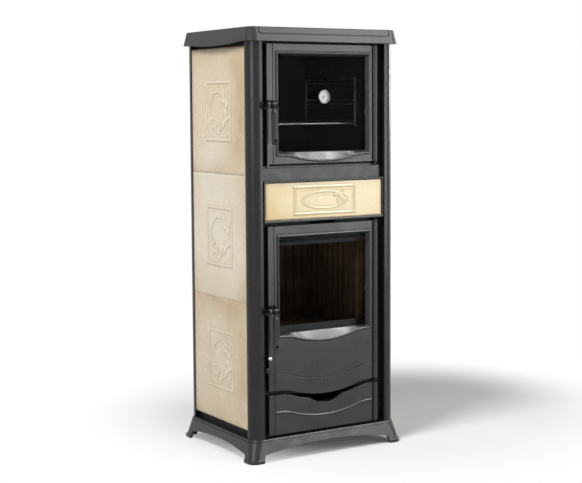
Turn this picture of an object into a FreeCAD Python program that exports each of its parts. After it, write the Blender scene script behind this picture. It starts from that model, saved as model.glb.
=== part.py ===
import FreeCAD, Part
import math
import os
from collections import namedtuple

# Wood-burning stove with an oven above the fire. Lengths are millimetres. +Z is up, the front
# faces -Y, and the origin lies on the floor under the middle of the stove. Each function makes
# one piece where it sits in the closed stove, and the list at the end writes them all.

V = FreeCAD.Vector
ORIGIN = V(0, 0, 0)
ALONG_X = V(1, 0, 0)
ALONG_Y = V(0, 1, 0)
ALONG_Z = V(0, 0, 1)

# Whole stove: the body is measured across the outer faces of the corner posts
stove_height = 1354.0
body_width = 540.0
body_depth = 430.0

# Allowances
overrun = 5.0
seat_gap = 0.3
fit_gap = 0.05

# Heights of the front, from the floor up
base_height = 72.0
drawer_foot_gap = 8.0
drawer_height = 126.0
drawer_gap = 14.2
fire_door_height = 518.8
tile_frame_gap = 12.0
tile_frame_height = 129.0
band_height = 39.0
oven_door_gap = 13.5
door_head_gap = 7.0
top_plate_height = 44.0

# Corner posts: hollow quarter-round columns with a groove that holds the tiles
post_front_leg = 41.0
post_side_leg = 37.5
post_inner_depth = 25.0
post_corner_radius = 33.0
post_wall = 3.0

# Side tiles
tile_thickness = 10.0
tile_play = 0.25
tile_lap = 8.0
tile_edge = 1.0
tile_foot_gap = 25.0
tile_head_gap = 13.0
tiles_per_side = 3
side_panel_relief_width = 175.0
side_panel_relief_height = 200.0
side_oval_width = 124.0
side_oval_height = 140.0

# Front tile in its metal frame
tile_frame_side = 5.0
tile_frame_rail = 6.5
tile_frame_side_gap = 5.0
tile_frame_bevel = 3.0
tile_frame_recess = 0.5
front_tile_recess = 2.0
front_relief_width = 234.0
front_relief_height = 94.0
front_oval_width = 178.0
front_oval_height = 63.0

# Moulded relief of all tiles
relief_height = 2.0
relief_bevel = 1.5
relief_ridge = 6.0
relief_step = 5.0
relief_step_height = 1.0

# Base casting
base_margin = 3.0
base_flare = 14.0
base_edge_round = 2.5
base_line_drop = 5.0
base_line_width = 3.0
base_line_depth = 3.0
foot_lip = 2.0
foot_lip_height = 11.0
foot_lip_round = 1.9
foot_base_round = 3.0
foot_corner_radius = 25.0
base_wall = 7.0
base_deck = 8.0
foot_length = 46.0
foot_taper = 9.0
arch_spring_height = 25.0
front_arch_crown = 45.0
side_arch_crown = 40.0

# Top plate
top_overhang = 13.5
top_batter = 11.0
top_corner_radius = 32.0
top_deck = 8.0
top_rim = 13.0
top_edge_round = 3.0
side_apron_bow = 8.0
apron_groove_drop = 23.0
apron_groove_width = 3.0
apron_groove_depth = 2.5
apron_groove_round = 8.0
apron_groove_margin = 8.0

# Sheet metal of the body
panel_sheet = 2.0
rear_flange = 40.0
rear_panel_play = 1.0
rear_panel_sheet = 1.5
rear_slot_length = 90.0
rear_slot_height = 6.0
rear_slot_pitch = 16.0
rear_slot_rows = 7
rear_slot_columns = 3
rear_slot_column_pitch = 120.0
rear_vent_low = 140.0
rear_vent_high = 640.0
frame_plate = 4.0

# Doors and drawer front
door_gap = 20.0
door_recess = 3.5
door_back_gap = 3.0
barrel_gap = 0.5
barrel_groove = 9.0
barrel_web = 10.0
strip_step = 2.0
frame_lap = 22.5
frame_side_lap = 41.0
bead_width = 7.0
bead_height = 3.0
bead_bevel = 2.5
bead_line = 3.0
bead_line_depth = 3.0
window_splay = 7.0
glass_rail = 5.0
glass_lap = 5.0
glass_thickness = 4.0
glass_depth = 12.0
retainer_thickness = 2.0
retainer_set_back = 1.0
sill_rise = 5.5
sill_end = 12.0
oven_top_rail = 30.5
oven_bottom_rail = 30.5
oven_sill_dip = 20.0
fire_top_rail = 35.0
fire_bottom_rail = 173.8
fire_sill_dip = 23.0
wave_end = 7.0
wave_dip = 26.5
wave_hollow_share = 0.7
panel_line_rise = 54.5
panel_line_width = 3.5
panel_line_depth = 4.0
panel_line_inset = 1.0
gasket_offset = 7.5
gasket_width = 8.0
gasket_groove_depth = 4.0
gasket_round = 2.0

# Hinges
pin_radius = 4.0
pin_reach = 20.0
pin_bore_spare = 2.0
pin_collar_radius = 6.0
pin_collar_height = 4.0
lug_thickness = 5.5
lug_radius = 8.5
lift_room = 1.0

# Handles and latches
handle_stand = 23.5
handle_rise_share = 0.498
bracket_width = 20.0
bracket_height = 27.0
bracket_base = 4.0
cheek_thickness = 4.0
cheek_radius = 8.0
cheek_play = 0.3
shaft_radius = 4.0
head_radius = 8.0
neck_radius = 5.2
neck_length = 16.0
grip_radius = 9.0
grip_taper = 8.0
grip_length = 124.0
grip_hole_radius = 4.5
grip_hole_rise = 12.0
hook_thickness = 8.0
hook_clear = 7.0
hook_eye_radius = 9.0
hook_arm_low = 14.0
hook_arm_top = 6.0
hook_nose_front = 34.0
hook_nose_back = 39.0
hook_nose_top = 1.0
keeper_reach = 29.0
keeper_pin_radius = 3.0
keeper_plate = 3.0
keeper_half_height = 12.0
keeper_front = 8.0
keeper_pin_spare = 1.5
keeper_foot = 1.5
keeper_foot_width = 15.0

# Band panel under the oven
band_depth = 8.0
band_sheet = 2.0
band_side_gap = 2.0
ledge_neck = 2.0
ledge_neck_depth = 6.0
ledge_height = 4.5
ledge_depth = 10.0
ledge_lug_room = 5.0
rest_width = 9.0
rest_depth = 14.0
rest_inset = 1.0

# Vent slot above the fire door
vent_slot_width = 100.0
vent_slot_height = 6.0
vent_slot_rise = 2.0

# Bottom drawer
scoop_half = 75.0
scoop_dip = 16.0
drawer_rib_drop = 52.0
drawer_rib_width = 6.0
drawer_rib_height = 3.0
drawer_rib_bevel = 2.2
drawer_opening_lap = 19.0
drawer_opening_foot = 4.0
drawer_opening_head = 8.0
drawer_box_gap = 6.0
drawer_box_back_gap = 30.0
drawer_box_lift = 16.0
drawer_box_height = 77.0
drawer_sheet = 1.5
runner_inset = 14.0
runner_width = 20.0
runner_wall = 2.0
runner_front_gap = 6.0

# Firebox
shell_wall = 4.0
firebox_margin = 8.0
firebox_back_gap = 31.0
shell_foot_gap = 10.0
shell_head_rise = 9.0
smoke_hole_margin = 36.0
smoke_hole_depth = 120.0
hearth_drop = 10.0
hearth_thickness = 8.0
grate_half = 95.0
grate_forward = 12.0
grate_thickness = 12.0
grate_rebate = 6.0
grate_rebate_depth = 5.0
grate_bars = 8
grate_bar_share = 0.55
liner_thickness = 26.0
liner_plate = 15.0
liner_rib_pitch = 32.0
liner_rib_share = 0.55
liner_draft_share = 0.25
liner_front = 12.0
liner_height_back = 270.0
liner_height_front = 305.0
baffle_thickness = 14.0
baffle_throat = 75.0
deflector_fall = 15.0
deflector_drop = 37.0
deflector_depth = 21.0
deflector_lip = 12.0
deflector_sheet = 2.0
deflector_margin = 26.0
guard_height = 32.0
guard_thickness = 12.0
guard_set_back = 14.0
guard_lean = 4.0
ash_pan_margin = 36.0
ash_pan_front_gap = 36.0
ash_pan_back_gap = 30.0
ash_pan_height = 75.0
ash_pan_sheet = 2.0
ash_pan_lip = 10.0

# Smoke jacket, oven box and its wire work
jacket_margin = 25.0
jacket_wall = 3.0
jacket_back_gap = 9.0
jacket_head_gap = 10.0
oven_mouth_step = 8.0
oven_wall = 2.0
oven_flange_lap = 10.0
oven_back_gap = 26.0
oven_floor_rise = 30.0
oven_roof_drop = 30.0
rack_wire_radius = 2.5
rack_stub_radius = 2.0
rack_pad_radius = 4.0
rack_front_gap = 36.0
rack_back_gap = 8.0
rack_levels = 3
rack_low_share = 0.279
rack_pitch_share = 0.219
rack_pair = 13.5
rack_spare = 5.0
shelf_rim_radius = 3.0
shelf_side_radius = 2.5
shelf_wire_radius = 2.0
shelf_wires = 11
shelf_front_gap = 46.0
shelf_back_gap = 25.0

# Flue collar
flue_radius = 65.0
flue_wall = 3.0
flue_flange = 16.0
flue_flange_thickness = 4.0
flue_hole_gap = 3.0
flue_drop = 120.0

# Dial thermometer in the oven glass
dial_height_share = 0.5736
dial_case_radius = 21.5
dial_case_depth = 13.0
dial_cup_radius = 19.0
dial_cup_depth = 7.0
dial_bezel_round = 1.5
dial_plate_thickness = 1.0
dial_lens_thickness = 1.0
dial_lens_set_back = 0.6
needle_thickness = 0.6
needle_gap = 0.7
needle_length = 14.0
needle_tail = 6.0
needle_width = 1.6
needle_hub_radius = 2.0
needle_rest_turn = 135.0
probe_radius = 3.0
probe_length = 60.0
probe_hole_gap = 0.5
probe_nut_radius = 8.0
probe_nut_thickness = 4.0

# Air controls beside the fire door
air_rod_radius = 4.0
primary_air_rise = 109.8
primary_knob_stand = 19.0
primary_ball_radius = 7.0
secondary_air_rise = 69.8
secondary_knob_stand = 2.0
secondary_knob_radius = 8.5
secondary_knob_length = 17.0
secondary_knob_neck = 5.5
secondary_knob_neck_length = 5.0
secondary_knob_round = 3.5
air_rod_tail = 42.0
shutter_sheet = 2.0
shutter_front_gap = 36.0
shutter_length = 56.0
shutter_half_height = 13.0
shutter_arm = 4.0
shutter_arm_half_height = 3.0
air_slot_width = 14.0
air_slot_pitch = 28.0
air_slot_half_height = 8.0
air_slots = 2
air_guide_gap = 32.0
air_guide_plate = 4.0
air_guide_margin = 14.0
air_guide_spare = 1.0

# Places that follow from the sizes above
half_width = body_width / 2
half_depth = body_depth / 2
body_top = stove_height - top_plate_height
drawer_foot = base_height + drawer_foot_gap
drawer_head = drawer_foot + drawer_height
fire_foot = drawer_head + drawer_gap
fire_head = fire_foot + fire_door_height
tile_frame_foot = fire_head + tile_frame_gap
tile_frame_head = tile_frame_foot + tile_frame_height
band_head = tile_frame_head + band_height
oven_foot = band_head + oven_door_gap
oven_head = body_top - door_head_gap
post_inner_x = half_width - post_front_leg
post_step_y = half_depth - post_inner_depth
post_lip_y = half_depth - post_side_leg
tile_face_x = half_width - post_wall - tile_play
tile_back_x = tile_face_x - tile_thickness
groove_back_x = tile_back_x - tile_play
panel_face_x = groove_back_x - post_wall
panel_back_x = panel_face_x - panel_sheet
frame_front = -post_step_y
frame_back = frame_front + frame_plate
door_front = door_recess - half_depth
door_back = frame_front - door_back_gap
door_half = post_inner_x - door_gap
barrel_radius = (post_inner_depth - door_recess - barrel_gap) / 2
barrel_x = door_half - barrel_radius
barrel_y = door_front + barrel_radius
slab_right = door_half - 2 * barrel_radius - barrel_groove
strip_inner_x = 2 * barrel_radius - door_half
frame_opening_half = door_half - frame_side_lap
glass_half = frame_opening_half - glass_lap
window_half = glass_half + window_splay
sill_wave_half = window_half - sill_end
wave_half = slab_right - wave_end
panel_line_end = -strip_inner_x - panel_line_inset
glass_front = door_front + glass_depth
glass_back = glass_front + glass_thickness
shell_foot = drawer_head + shell_foot_gap
shell_head = tile_frame_foot + shell_head_rise
jacket_back = post_step_y - jacket_back_gap
firebox_half = frame_opening_half + firebox_margin
firebox_back = jacket_back - firebox_back_gap
shell_outer = firebox_half + shell_wall
smoke_hole_half = firebox_half - smoke_hole_margin
smoke_hole_front = firebox_back - smoke_hole_depth
hearth_top = fire_foot + fire_bottom_rail - hearth_drop
liner_half = firebox_half - seat_gap
grate_centre = (frame_back + firebox_back) / 2 - grate_forward
deflector_half = firebox_half - deflector_margin
ash_pan_half = firebox_half - ash_pan_margin
ash_pan_front = frame_back + ash_pan_front_gap
ash_pan_back = firebox_back - ash_pan_back_gap
drawer_opening_half = door_half - drawer_opening_lap
drawer_box_half = drawer_opening_half - drawer_box_gap
drawer_box_back = firebox_back - drawer_box_back_gap
runner_front = frame_back + runner_front_gap
jacket_half = shell_outer + jacket_margin
oven_half = frame_opening_half - oven_mouth_step
oven_back = jacket_back - oven_back_gap
oven_floor = oven_foot + oven_floor_rise
oven_roof = oven_head - oven_roof_drop
rack_front = frame_back + rack_front_gap
rack_back = oven_back - rack_back_gap
rack_low = rack_low_share * (oven_roof - oven_floor)
rack_pitch = rack_pitch_share * (oven_roof - oven_floor)
shelf_front = frame_back + shelf_front_gap
shelf_back = oven_back - shelf_back_gap
jacket_head = body_top - jacket_head_gap
flue_height = jacket_head - flue_drop
rear_panel_back = post_step_y + rear_panel_sheet
handle_x = barrel_radius - door_half
handle_y = door_front - handle_stand
flue_reach = grip_radius - handle_y
hook_right = -door_half - hook_clear
hook_left = hook_right - hook_thickness
keeper_x = -(post_inner_x - seat_gap)
air_x = door_gap / 2 - post_inner_x
shutter_front = frame_back + shutter_front_gap
shutter_back = shutter_front + shutter_length
air_guide_front = shutter_back + air_guide_gap - air_guide_plate
air_guide_back = air_guide_front + air_guide_plate
air_rod_rear = air_guide_back + air_rod_tail

Window = namedtuple("Window", "head level dip glass_head glass_foot")
Door = namedtuple("Door", "foot head dip window handle_height")


def make_window(foot, head, top_rail, bottom_rail, dip):
    """The window of a door, from the rails above and below it."""
    top = head - top_rail
    level = foot + bottom_rail
    return Window(top, level, dip, top - glass_rail, level + sill_rise)


oven_door = Door(
    oven_foot, oven_head, 0,
    make_window(oven_foot, oven_head, oven_top_rail, oven_bottom_rail, oven_sill_dip),
    oven_foot + handle_rise_share * (oven_head - oven_foot),
)
fire_door = Door(
    fire_foot, fire_head, wave_dip,
    make_window(fire_foot, fire_head, fire_top_rail, fire_bottom_rail, fire_sill_dip),
    fire_foot + handle_rise_share * fire_door_height,
)


# Shared shapes

def block(x, y, z):
    """A box between two values of x, of y and of z."""
    return Part.makeBox(x[1] - x[0], y[1] - y[0], z[1] - z[0], V(x[0], y[0], z[0]))


def rod(start, end, radius):
    """A round bar between two points."""
    along = end - start
    return Part.makeCylinder(radius, along.Length, start, along)


def line(start, end):
    return Part.LineSegment(start, end).toShape()


def arc(start, middle, end):
    return Part.Arc(start, middle, end).toShape()


def polyline(points):
    """The straight edges from each point to the next."""
    return [line(a, b) for a, b in zip(points, points[1:])]


def prism(edges, along):
    """A solid made by pushing a closed outline along a vector."""
    return Part.Face(Part.Wire(edges)).extrude(along)


def profile_prism(points, along):
    """A solid made by pushing a closed polygon along a vector."""
    return prism(polyline(points + points[:1]), along)


def frustum(first, second):
    """A solid with straight sides between two outlines with as many edges."""
    return Part.makeLoft([first, second], True, True)


def mirror_x(shape):
    return shape.mirror(ORIGIN, ALONG_X)


def mirror_y(shape):
    return shape.mirror(ORIGIN, ALONG_Y)


def turned(profile, centre, axis):
    """A solid of revolution about an axis through a point."""
    return Part.Face(Part.Wire(profile)).revolve(centre, axis, 360)


def joined(first, *others):
    """One solid from pieces that are cast or welded together."""
    return first.fuse(list(others)).removeSplitter()


def rectangle_xz(half, low, high, y):
    """Closed rectangle, even about the middle of the stove, facing the front."""
    corners = [V(half, y, low), V(half, y, high), V(-half, y, high), V(-half, y, low)]
    return Part.Wire(polyline(corners + corners[:1]))


def round_rectangle(half_x, half_y, radius, z):
    """Closed level rectangle with round corners."""
    inner_x = half_x - radius
    inner_y = half_y - radius
    quarters = {
        0: (inner_x, inner_y), 90: (-inner_x, inner_y), 180: (-inner_x, -inner_y), 270: (inner_x, -inner_y),
    }
    corners = []
    for start, (x, y) in quarters.items():
        turns = [math.radians(start + turn) for turn in (0, 45, 90)]
        corners.append([V(x + radius * math.cos(a), y + radius * math.sin(a), z) for a in turns])
    edges = []
    for here, following in zip(corners, corners[1:] + corners[:1]):
        edges.append(arc(*here))
        edges.append(line(here[-1], following[0]))
    return Part.Wire(edges)


def spoke_xz(centre, radius, degrees):
    """The point of an upright circle, facing the front, at an angle from +X."""
    turn = math.radians(degrees)
    return centre + V(radius * math.cos(turn), 0, radius * math.sin(turn))


def wave_points(half, dip, level, drop, y):
    """Points of a wave that leaves level ends, dips to a hollow in the middle and comes back.

    It is three tangent arcs. drop moves the line square to itself, downwards. Returns the three
    points of each arc, from left to right.
    """
    turn = 2 * math.atan2(dip, half)
    reach = half / math.sin(turn)
    hollow = reach * wave_hollow_share
    crest = reach - hollow

    def crest_point(angle, side):
        x = side * (half - (crest - drop) * math.sin(angle))
        return V(x, y, level - crest + (crest - drop) * math.cos(angle))

    def hollow_point(angle):
        z = level - dip + hollow - (hollow + drop) * math.cos(angle)
        return V((hollow + drop) * math.sin(angle), y, z)

    left = [crest_point(angle, -1) for angle in (0, turn / 2, turn)]
    middle = [hollow_point(angle) for angle in (-turn, 0, turn)]
    right = [crest_point(angle, 1) for angle in (turn, turn / 2, 0)]
    return [left, middle, right]


def wave(half, dip, level, drop, y):
    """The three arcs of a wave, from left to right."""
    return [arc(*points) for points in wave_points(half, dip, level, drop, y)]


def wave_band(half, end, dip, level, width, front, back):
    """A bar that follows a wave and runs on level to both ends."""
    upper = wave(half, dip, level, 0, front)
    lower = wave(half, dip, level, width, front)
    edges = [line(V(-end, front, level), V(-half, front, level))] + upper
    edges.append(line(V(half, front, level), V(end, front, level)))
    edges.append(line(V(end, front, level), V(end, front, level - width)))
    edges.append(line(V(end, front, level - width), V(half, front, level - width)))
    edges += lower[::-1]
    edges.append(line(V(-half, front, level - width), V(-end, front, level - width)))
    edges.append(line(V(-end, front, level - width), V(-end, front, level)))
    return prism(Part.__sortEdges__(edges), V(0, back - front, 0))


# Corner posts, tiles and panels

def corner_post():
    """The rear right post; the other three are its mirror images."""
    arc_x = half_width - post_corner_radius
    arc_y = half_depth - post_corner_radius
    groove_floor = post_lip_y + tile_lap + tile_play

    def round_point(radius, angle):
        return V(arc_x + radius * math.cos(angle), arc_y + radius * math.sin(angle), base_height)

    quarter = math.radians(90)
    outer = [round_point(post_corner_radius, a) for a in (quarter, quarter / 2, 0)]
    inside = [
        V(half_width, post_lip_y, base_height),
        V(half_width - post_wall, post_lip_y, base_height),
        V(half_width - post_wall, groove_floor, base_height),
        V(groove_back_x, groove_floor, base_height),
        V(groove_back_x, post_lip_y, base_height),
        V(panel_face_x, post_lip_y, base_height),
        V(panel_face_x, post_step_y, base_height),
        V(post_inner_x, post_step_y, base_height),
        V(post_inner_x, half_depth, base_height),
    ]
    skin = [arc(*outer)] + polyline([outer[-1]] + inside + [outer[0]])
    bore_radius = post_corner_radius - post_wall
    bore_low = post_step_y + post_wall
    low_turn = math.asin((bore_low - arc_y) / bore_radius)
    bore = [round_point(bore_radius, a) for a in (quarter, (quarter + low_turn) / 2, low_turn)]
    bore_left = post_inner_x + post_wall
    hollow = [arc(*bore)] + polyline([
        bore[-1],
        V(bore_left, bore_low, base_height),
        V(bore_left, half_depth - post_wall, base_height),
        bore[0],
    ])
    length = V(0, 0, body_top - base_height)
    return prism(skin, length).cut(prism(hollow, length))


def oval(half_x, half_z, y):
    ellipse = [V(half_x, y, 0), V(0, y, half_z)]
    if half_z > half_x:
        ellipse.reverse()
    return Part.Wire(Part.Ellipse(ellipse[0], ellipse[1], V(0, y, 0)).toShape())


def frame_outline(half_x, half_z, y):
    return rectangle_xz(half_x, -half_z, half_z, y)


def raised_ring(outline, half_x, half_z, width, height, front):
    """A moulded ridge that stands out of a tile's face, with sloping sides."""
    foot = front + overrun
    slope = relief_bevel / height
    spread = slope * overrun
    outer = frustum(
        outline(half_x + spread, half_z + spread, foot),
        outline(half_x - relief_bevel, half_z - relief_bevel, front - height),
    )
    inner = frustum(
        outline(half_x - width - spread, half_z - width - spread, foot),
        outline(half_x - width + 2 * relief_bevel, half_z - width + 2 * relief_bevel, front - 2 * height),
    )
    face_side = block((-half_width, half_width), (front - 2 * height - overrun, front), (-half_width, half_width))
    return outer.cut(inner).common(face_side)


def relief_tile(half_x, half_z, panel, ornament):
    """A tile that faces -Y with its back on the XZ plane: a moulded panel with an oval on it."""
    front = -tile_thickness
    tile = profile_prism([
        V(-half_x, 0, -half_z), V(-half_x, front + tile_edge, -half_z), V(-half_x, front, tile_edge - half_z),
        V(-half_x, front, half_z - tile_edge), V(-half_x, front + tile_edge, half_z), V(-half_x, 0, half_z),
    ], V(2 * half_x, 0, 0))
    rings = [
        raised_ring(frame_outline, panel[0] / 2, panel[1] / 2, relief_ridge, relief_height, front),
        raised_ring(oval, ornament[0] / 2, ornament[1] / 2, relief_ridge, relief_height, front),
        raised_ring(
            oval, ornament[0] / 2 - relief_ridge - relief_step, ornament[1] / 2 - relief_ridge - relief_step,
            relief_step, relief_step_height, front,
        ),
    ]
    return joined(tile, *rings)


def side_tile(row):
    """One tile of the left column, counted from the floor."""
    foot = base_height + tile_foot_gap
    pitch = (body_top - tile_head_gap - foot) / tiles_per_side
    size = (side_panel_relief_width, side_panel_relief_height)
    tile = relief_tile(post_lip_y + tile_lap, pitch / 2, size, (side_oval_width, side_oval_height))
    tile.rotate(ORIGIN, ALONG_Z, -90)
    tile.translate(V(-tile_back_x, 0, foot + (row + 1 / 2) * pitch))
    return tile


def side_panel():
    """The left panel behind the tiles, with the shelf they stand on and a flange at the rear."""
    web = block((-panel_face_x, -panel_back_x), (-post_step_y, post_step_y), (base_height, body_top))
    flange = block(
        (-panel_back_x, rear_flange - panel_back_x),
        (post_step_y - panel_sheet, post_step_y),
        (base_height, body_top),
    )
    shelf_top = base_height + tile_foot_gap
    shelf = block(
        (-tile_face_x, -panel_face_x),
        (-post_lip_y, post_lip_y),
        (shelf_top - panel_sheet, shelf_top),
    )
    return joined(web, flange, shelf)


def rear_panel():
    """The sheet that closes the back, with two fields of vent slots and the flue's hole."""
    half = post_inner_x - rear_panel_play
    panel = block(
        (-half, half),
        (post_step_y, rear_panel_back),
        (base_height + rear_panel_play, body_top - rear_panel_play),
    )
    cuts = [rod(
        V(0, post_step_y - overrun, flue_height),
        V(0, rear_panel_back + overrun, flue_height),
        flue_radius + flue_flange + flue_hole_gap,
    )]
    for low in (rear_vent_low, rear_vent_high):
        for row in range(rear_slot_rows):
            for column in range(rear_slot_columns):
                x = (column - (rear_slot_columns - 1) / 2) * rear_slot_column_pitch
                z = low + row * rear_slot_pitch
                cuts.append(block(
                    (x - rear_slot_length / 2, x + rear_slot_length / 2),
                    (post_step_y - overrun, rear_panel_back + overrun),
                    (z, z + rear_slot_height),
                ))
    return panel.cut(cuts)


# Base and top castings

def arch(half, taper, spring, crown, depth, turn):
    """The space under one pair of skirts, cut right through from side to side."""
    start = -depth - overrun
    left = V(-half, start, -overrun)
    left_spring = V(taper - half, start, spring)
    right_spring = V(half - taper, start, spring)
    right = V(half, start, -overrun)
    edges = [
        line(left, left_spring),
        arc(left_spring, V(0, start, crown), right_spring),
        line(right_spring, right),
        line(right, left),
    ]
    space = prism(edges, V(0, -2 * start, 0))
    space.rotate(ORIGIN, ALONG_Z, turn)
    return space


def base_casting():
    """The plinth: a deck for the posts, flared skirts with a fine line, and four splayed corner feet."""
    top_x = half_width + base_margin
    top_y = half_depth + base_margin
    low_x = top_x + base_flare
    low_y = top_y + base_flare
    top_radius = post_corner_radius + base_margin
    skirt = frustum(
        round_rectangle(low_x, low_y, foot_corner_radius, 0),
        round_rectangle(top_x, top_y, top_radius, base_height),
    )
    rim = [edge for edge in skirt.Edges if edge.BoundBox.ZMin > base_height / 2]
    skirt = skirt.makeFillet(base_edge_round, rim)
    lip_outline = round_rectangle(low_x + foot_lip, low_y + foot_lip, foot_corner_radius + foot_lip, 0)
    lip = Part.Face(lip_outline).extrude(V(0, 0, foot_lip_height))
    upper_edges = [edge for edge in lip.Edges if edge.BoundBox.ZMin > foot_lip_height / 2]
    lip = lip.makeFillet(foot_lip_round, upper_edges)
    outer = Part.Face(lip_outline).extrude(V(0, 0, base_height))
    lower_edges = [edge for edge in outer.Edges if edge.BoundBox.ZMax < base_height / 2]
    outer = outer.makeFillet(foot_base_round, lower_edges)
    ceiling = base_height - base_deck
    cavity = frustum(
        round_rectangle(low_x - base_wall, low_y - base_wall, foot_corner_radius - base_wall, -overrun),
        round_rectangle(top_x - base_wall, top_y - base_wall, top_radius - base_wall, ceiling),
    )
    plinth = joined(skirt, lip).common(outer).cut(cavity)
    line_x = low_x - base_line_depth
    line_y = low_y - base_line_depth
    line_floor = frustum(
        round_rectangle(line_x, line_y, foot_corner_radius - base_line_depth, 0),
        round_rectangle(line_x - base_flare, line_y - base_flare, top_radius - base_line_depth, base_height),
    )
    line_top = base_height - base_line_drop
    band = block((-low_x, low_x), (-low_y, low_y), (line_top - base_line_width, line_top))
    edge_line = band.cut(line_floor)
    reach_x = low_x + foot_lip
    reach_y = low_y + foot_lip
    front_arch = arch(reach_x - foot_length, foot_taper, arch_spring_height, front_arch_crown, reach_y, 0)
    side_arch = arch(reach_y - foot_length, foot_taper, arch_spring_height, side_arch_crown, reach_x, 90)
    return plinth.cut([edge_line, front_arch, side_arch])


def apron_arch(half, low, radius):
    """The space in front of the top plate inside an outline with round lower corners, open upwards."""
    start = -half_depth - 2 * top_overhang
    round_x = half - radius
    round_z = low + radius
    left_round = [spoke_xz(V(-round_x, start, round_z), radius, a) for a in (180, 225, 270)]
    right_round = [spoke_xz(V(round_x, start, round_z), radius, a) for a in (270, 315, 360)]
    high = stove_height + overrun
    edges = [arc(*left_round), line(left_round[-1], right_round[0]), arc(*right_round)]
    edges += polyline([right_round[-1], V(half, start, high), V(-half, start, high), left_round[0]])
    return prism(edges, V(0, half_depth, 0))


def top_plate():
    """The cast lid: battered apron all round, bowed lower edge at the sides, a groove in front."""
    foot = body_top - side_apron_bow
    spread = top_batter * (stove_height - foot) / top_plate_height
    upper_x = half_width + top_overhang - top_batter
    upper_y = half_depth + top_overhang - top_batter
    upper_radius = top_corner_radius - top_batter
    lid = frustum(
        round_rectangle(upper_x + spread, upper_y + spread, upper_radius + spread, foot),
        round_rectangle(upper_x, upper_y, upper_radius, stove_height),
    )
    groove_half = upper_x - upper_radius - apron_groove_margin
    groove_low = stove_height - apron_groove_drop
    inner_round = apron_groove_round - apron_groove_width
    groove = apron_arch(groove_half, groove_low, apron_groove_round).cut(
        apron_arch(groove_half - apron_groove_width, groove_low + apron_groove_width, inner_round)
    )
    groove_floor = lid.copy()
    groove_floor.translate(V(0, apron_groove_depth, 0))
    top_edges = [edge for edge in lid.Edges if edge.BoundBox.ZMin > stove_height - top_edge_round]
    lid = lid.makeFillet(top_edge_round, top_edges).cut(groove.cut(groove_floor))
    left = -half_width - 2 * top_overhang
    rear = half_depth + 2 * top_overhang
    bow_edges = [
        line(V(left, -rear, body_top), V(left, -post_lip_y, body_top)),
        arc(V(left, -post_lip_y, body_top), V(left, 0, foot), V(left, post_lip_y, body_top)),
    ]
    bow_edges += polyline([
        V(left, post_lip_y, body_top), V(left, rear, body_top), V(left, rear, foot - overrun),
        V(left, -rear, foot - overrun), V(left, -rear, body_top),
    ])
    under = prism(bow_edges, V(-2 * left, 0, 0))
    ceiling = stove_height - top_deck
    inner_x = half_width + top_overhang - top_rim
    inner_y = half_depth + top_overhang - top_rim
    across = block((-inner_x, inner_x), (-post_lip_y, post_lip_y), (foot - overrun, ceiling))
    along = block((-post_inner_x, post_inner_x), (-inner_y, inner_y), (foot - overrun, ceiling))
    return lid.cut([under, across, along])


# Front frame and what is fixed on it

def hinge_lug(low):
    """One ear of the front frame, with the hole that a hinge pin is pressed into."""
    left = barrel_x - lug_radius
    right = barrel_x + lug_radius
    edges = [
        line(V(left, frame_front, low), V(left, barrel_y, low)),
        arc(V(left, barrel_y, low), V(barrel_x, barrel_y - lug_radius, low), V(right, barrel_y, low)),
        line(V(right, barrel_y, low), V(right, frame_front, low)),
        line(V(right, frame_front, low), V(left, frame_front, low)),
    ]
    ear = prism(edges, V(0, 0, lug_thickness))
    far = low + lug_thickness + overrun
    hole = rod(V(barrel_x, barrel_y, low - overrun), V(barrel_x, barrel_y, far), pin_radius)
    return ear.cut(hole)


def lower_lug_height(door):
    return door.foot - pin_collar_height - lug_thickness


def upper_lug_height(door):
    return door.head + lift_room


def frame_opening(door):
    """Low and high edge of the hole in the front frame behind a door."""
    return door.foot + frame_lap, door.head - frame_lap


def air_height(rise):
    return fire_foot + rise


def frame_bands():
    """Low edge, high edge and half width of the hole for each band of the front frame, upwards."""
    slot_low = fire_head + vent_slot_rise
    slot_high = slot_low + vent_slot_height
    drawer_hole = (drawer_foot + drawer_opening_foot, drawer_head - drawer_opening_head)
    holes = [
        (drawer_hole, drawer_opening_half),
        (frame_opening(fire_door), frame_opening_half),
        ((slot_low, slot_high), vent_slot_width / 2),
        (frame_opening(oven_door), frame_opening_half),
    ]
    bands = []
    level = base_height
    for (low, high), half in holes:
        bands.append((level, low, 0))
        bands.append((low, high, half))
        level = high
    bands.append((level, body_top, 0))
    return bands


def front_frame():
    """The frame behind both doors and the drawer, welded from flat bars, with its hinge ears."""
    depth = (frame_front, frame_back)
    bores = []
    for rise in (primary_air_rise, secondary_air_rise):
        z = air_height(rise)
        start = V(air_x, frame_front - overrun, z)
        bores.append(rod(start, V(air_x, frame_back + overrun, z), air_rod_radius + fit_gap))
    lug_heights = []
    for door in (oven_door, fire_door):
        lug_heights += [lower_lug_height(door), upper_lug_height(door)]
    bars = []
    for low, high, half in frame_bands():
        lugs = [hinge_lug(z) for z in lug_heights if low < z + lug_thickness / 2 < high]
        if half:
            bars.append(block((-panel_back_x, -half), depth, (low, high)).cut(bores))
            right_bar = block((half, panel_back_x), depth, (low, high))
        else:
            right_bar = block((-panel_back_x, panel_back_x), depth, (low, high))
        bars.append(joined(right_bar, *lugs) if lugs else right_bar)
    return Part.makeCompound(bars)


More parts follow.
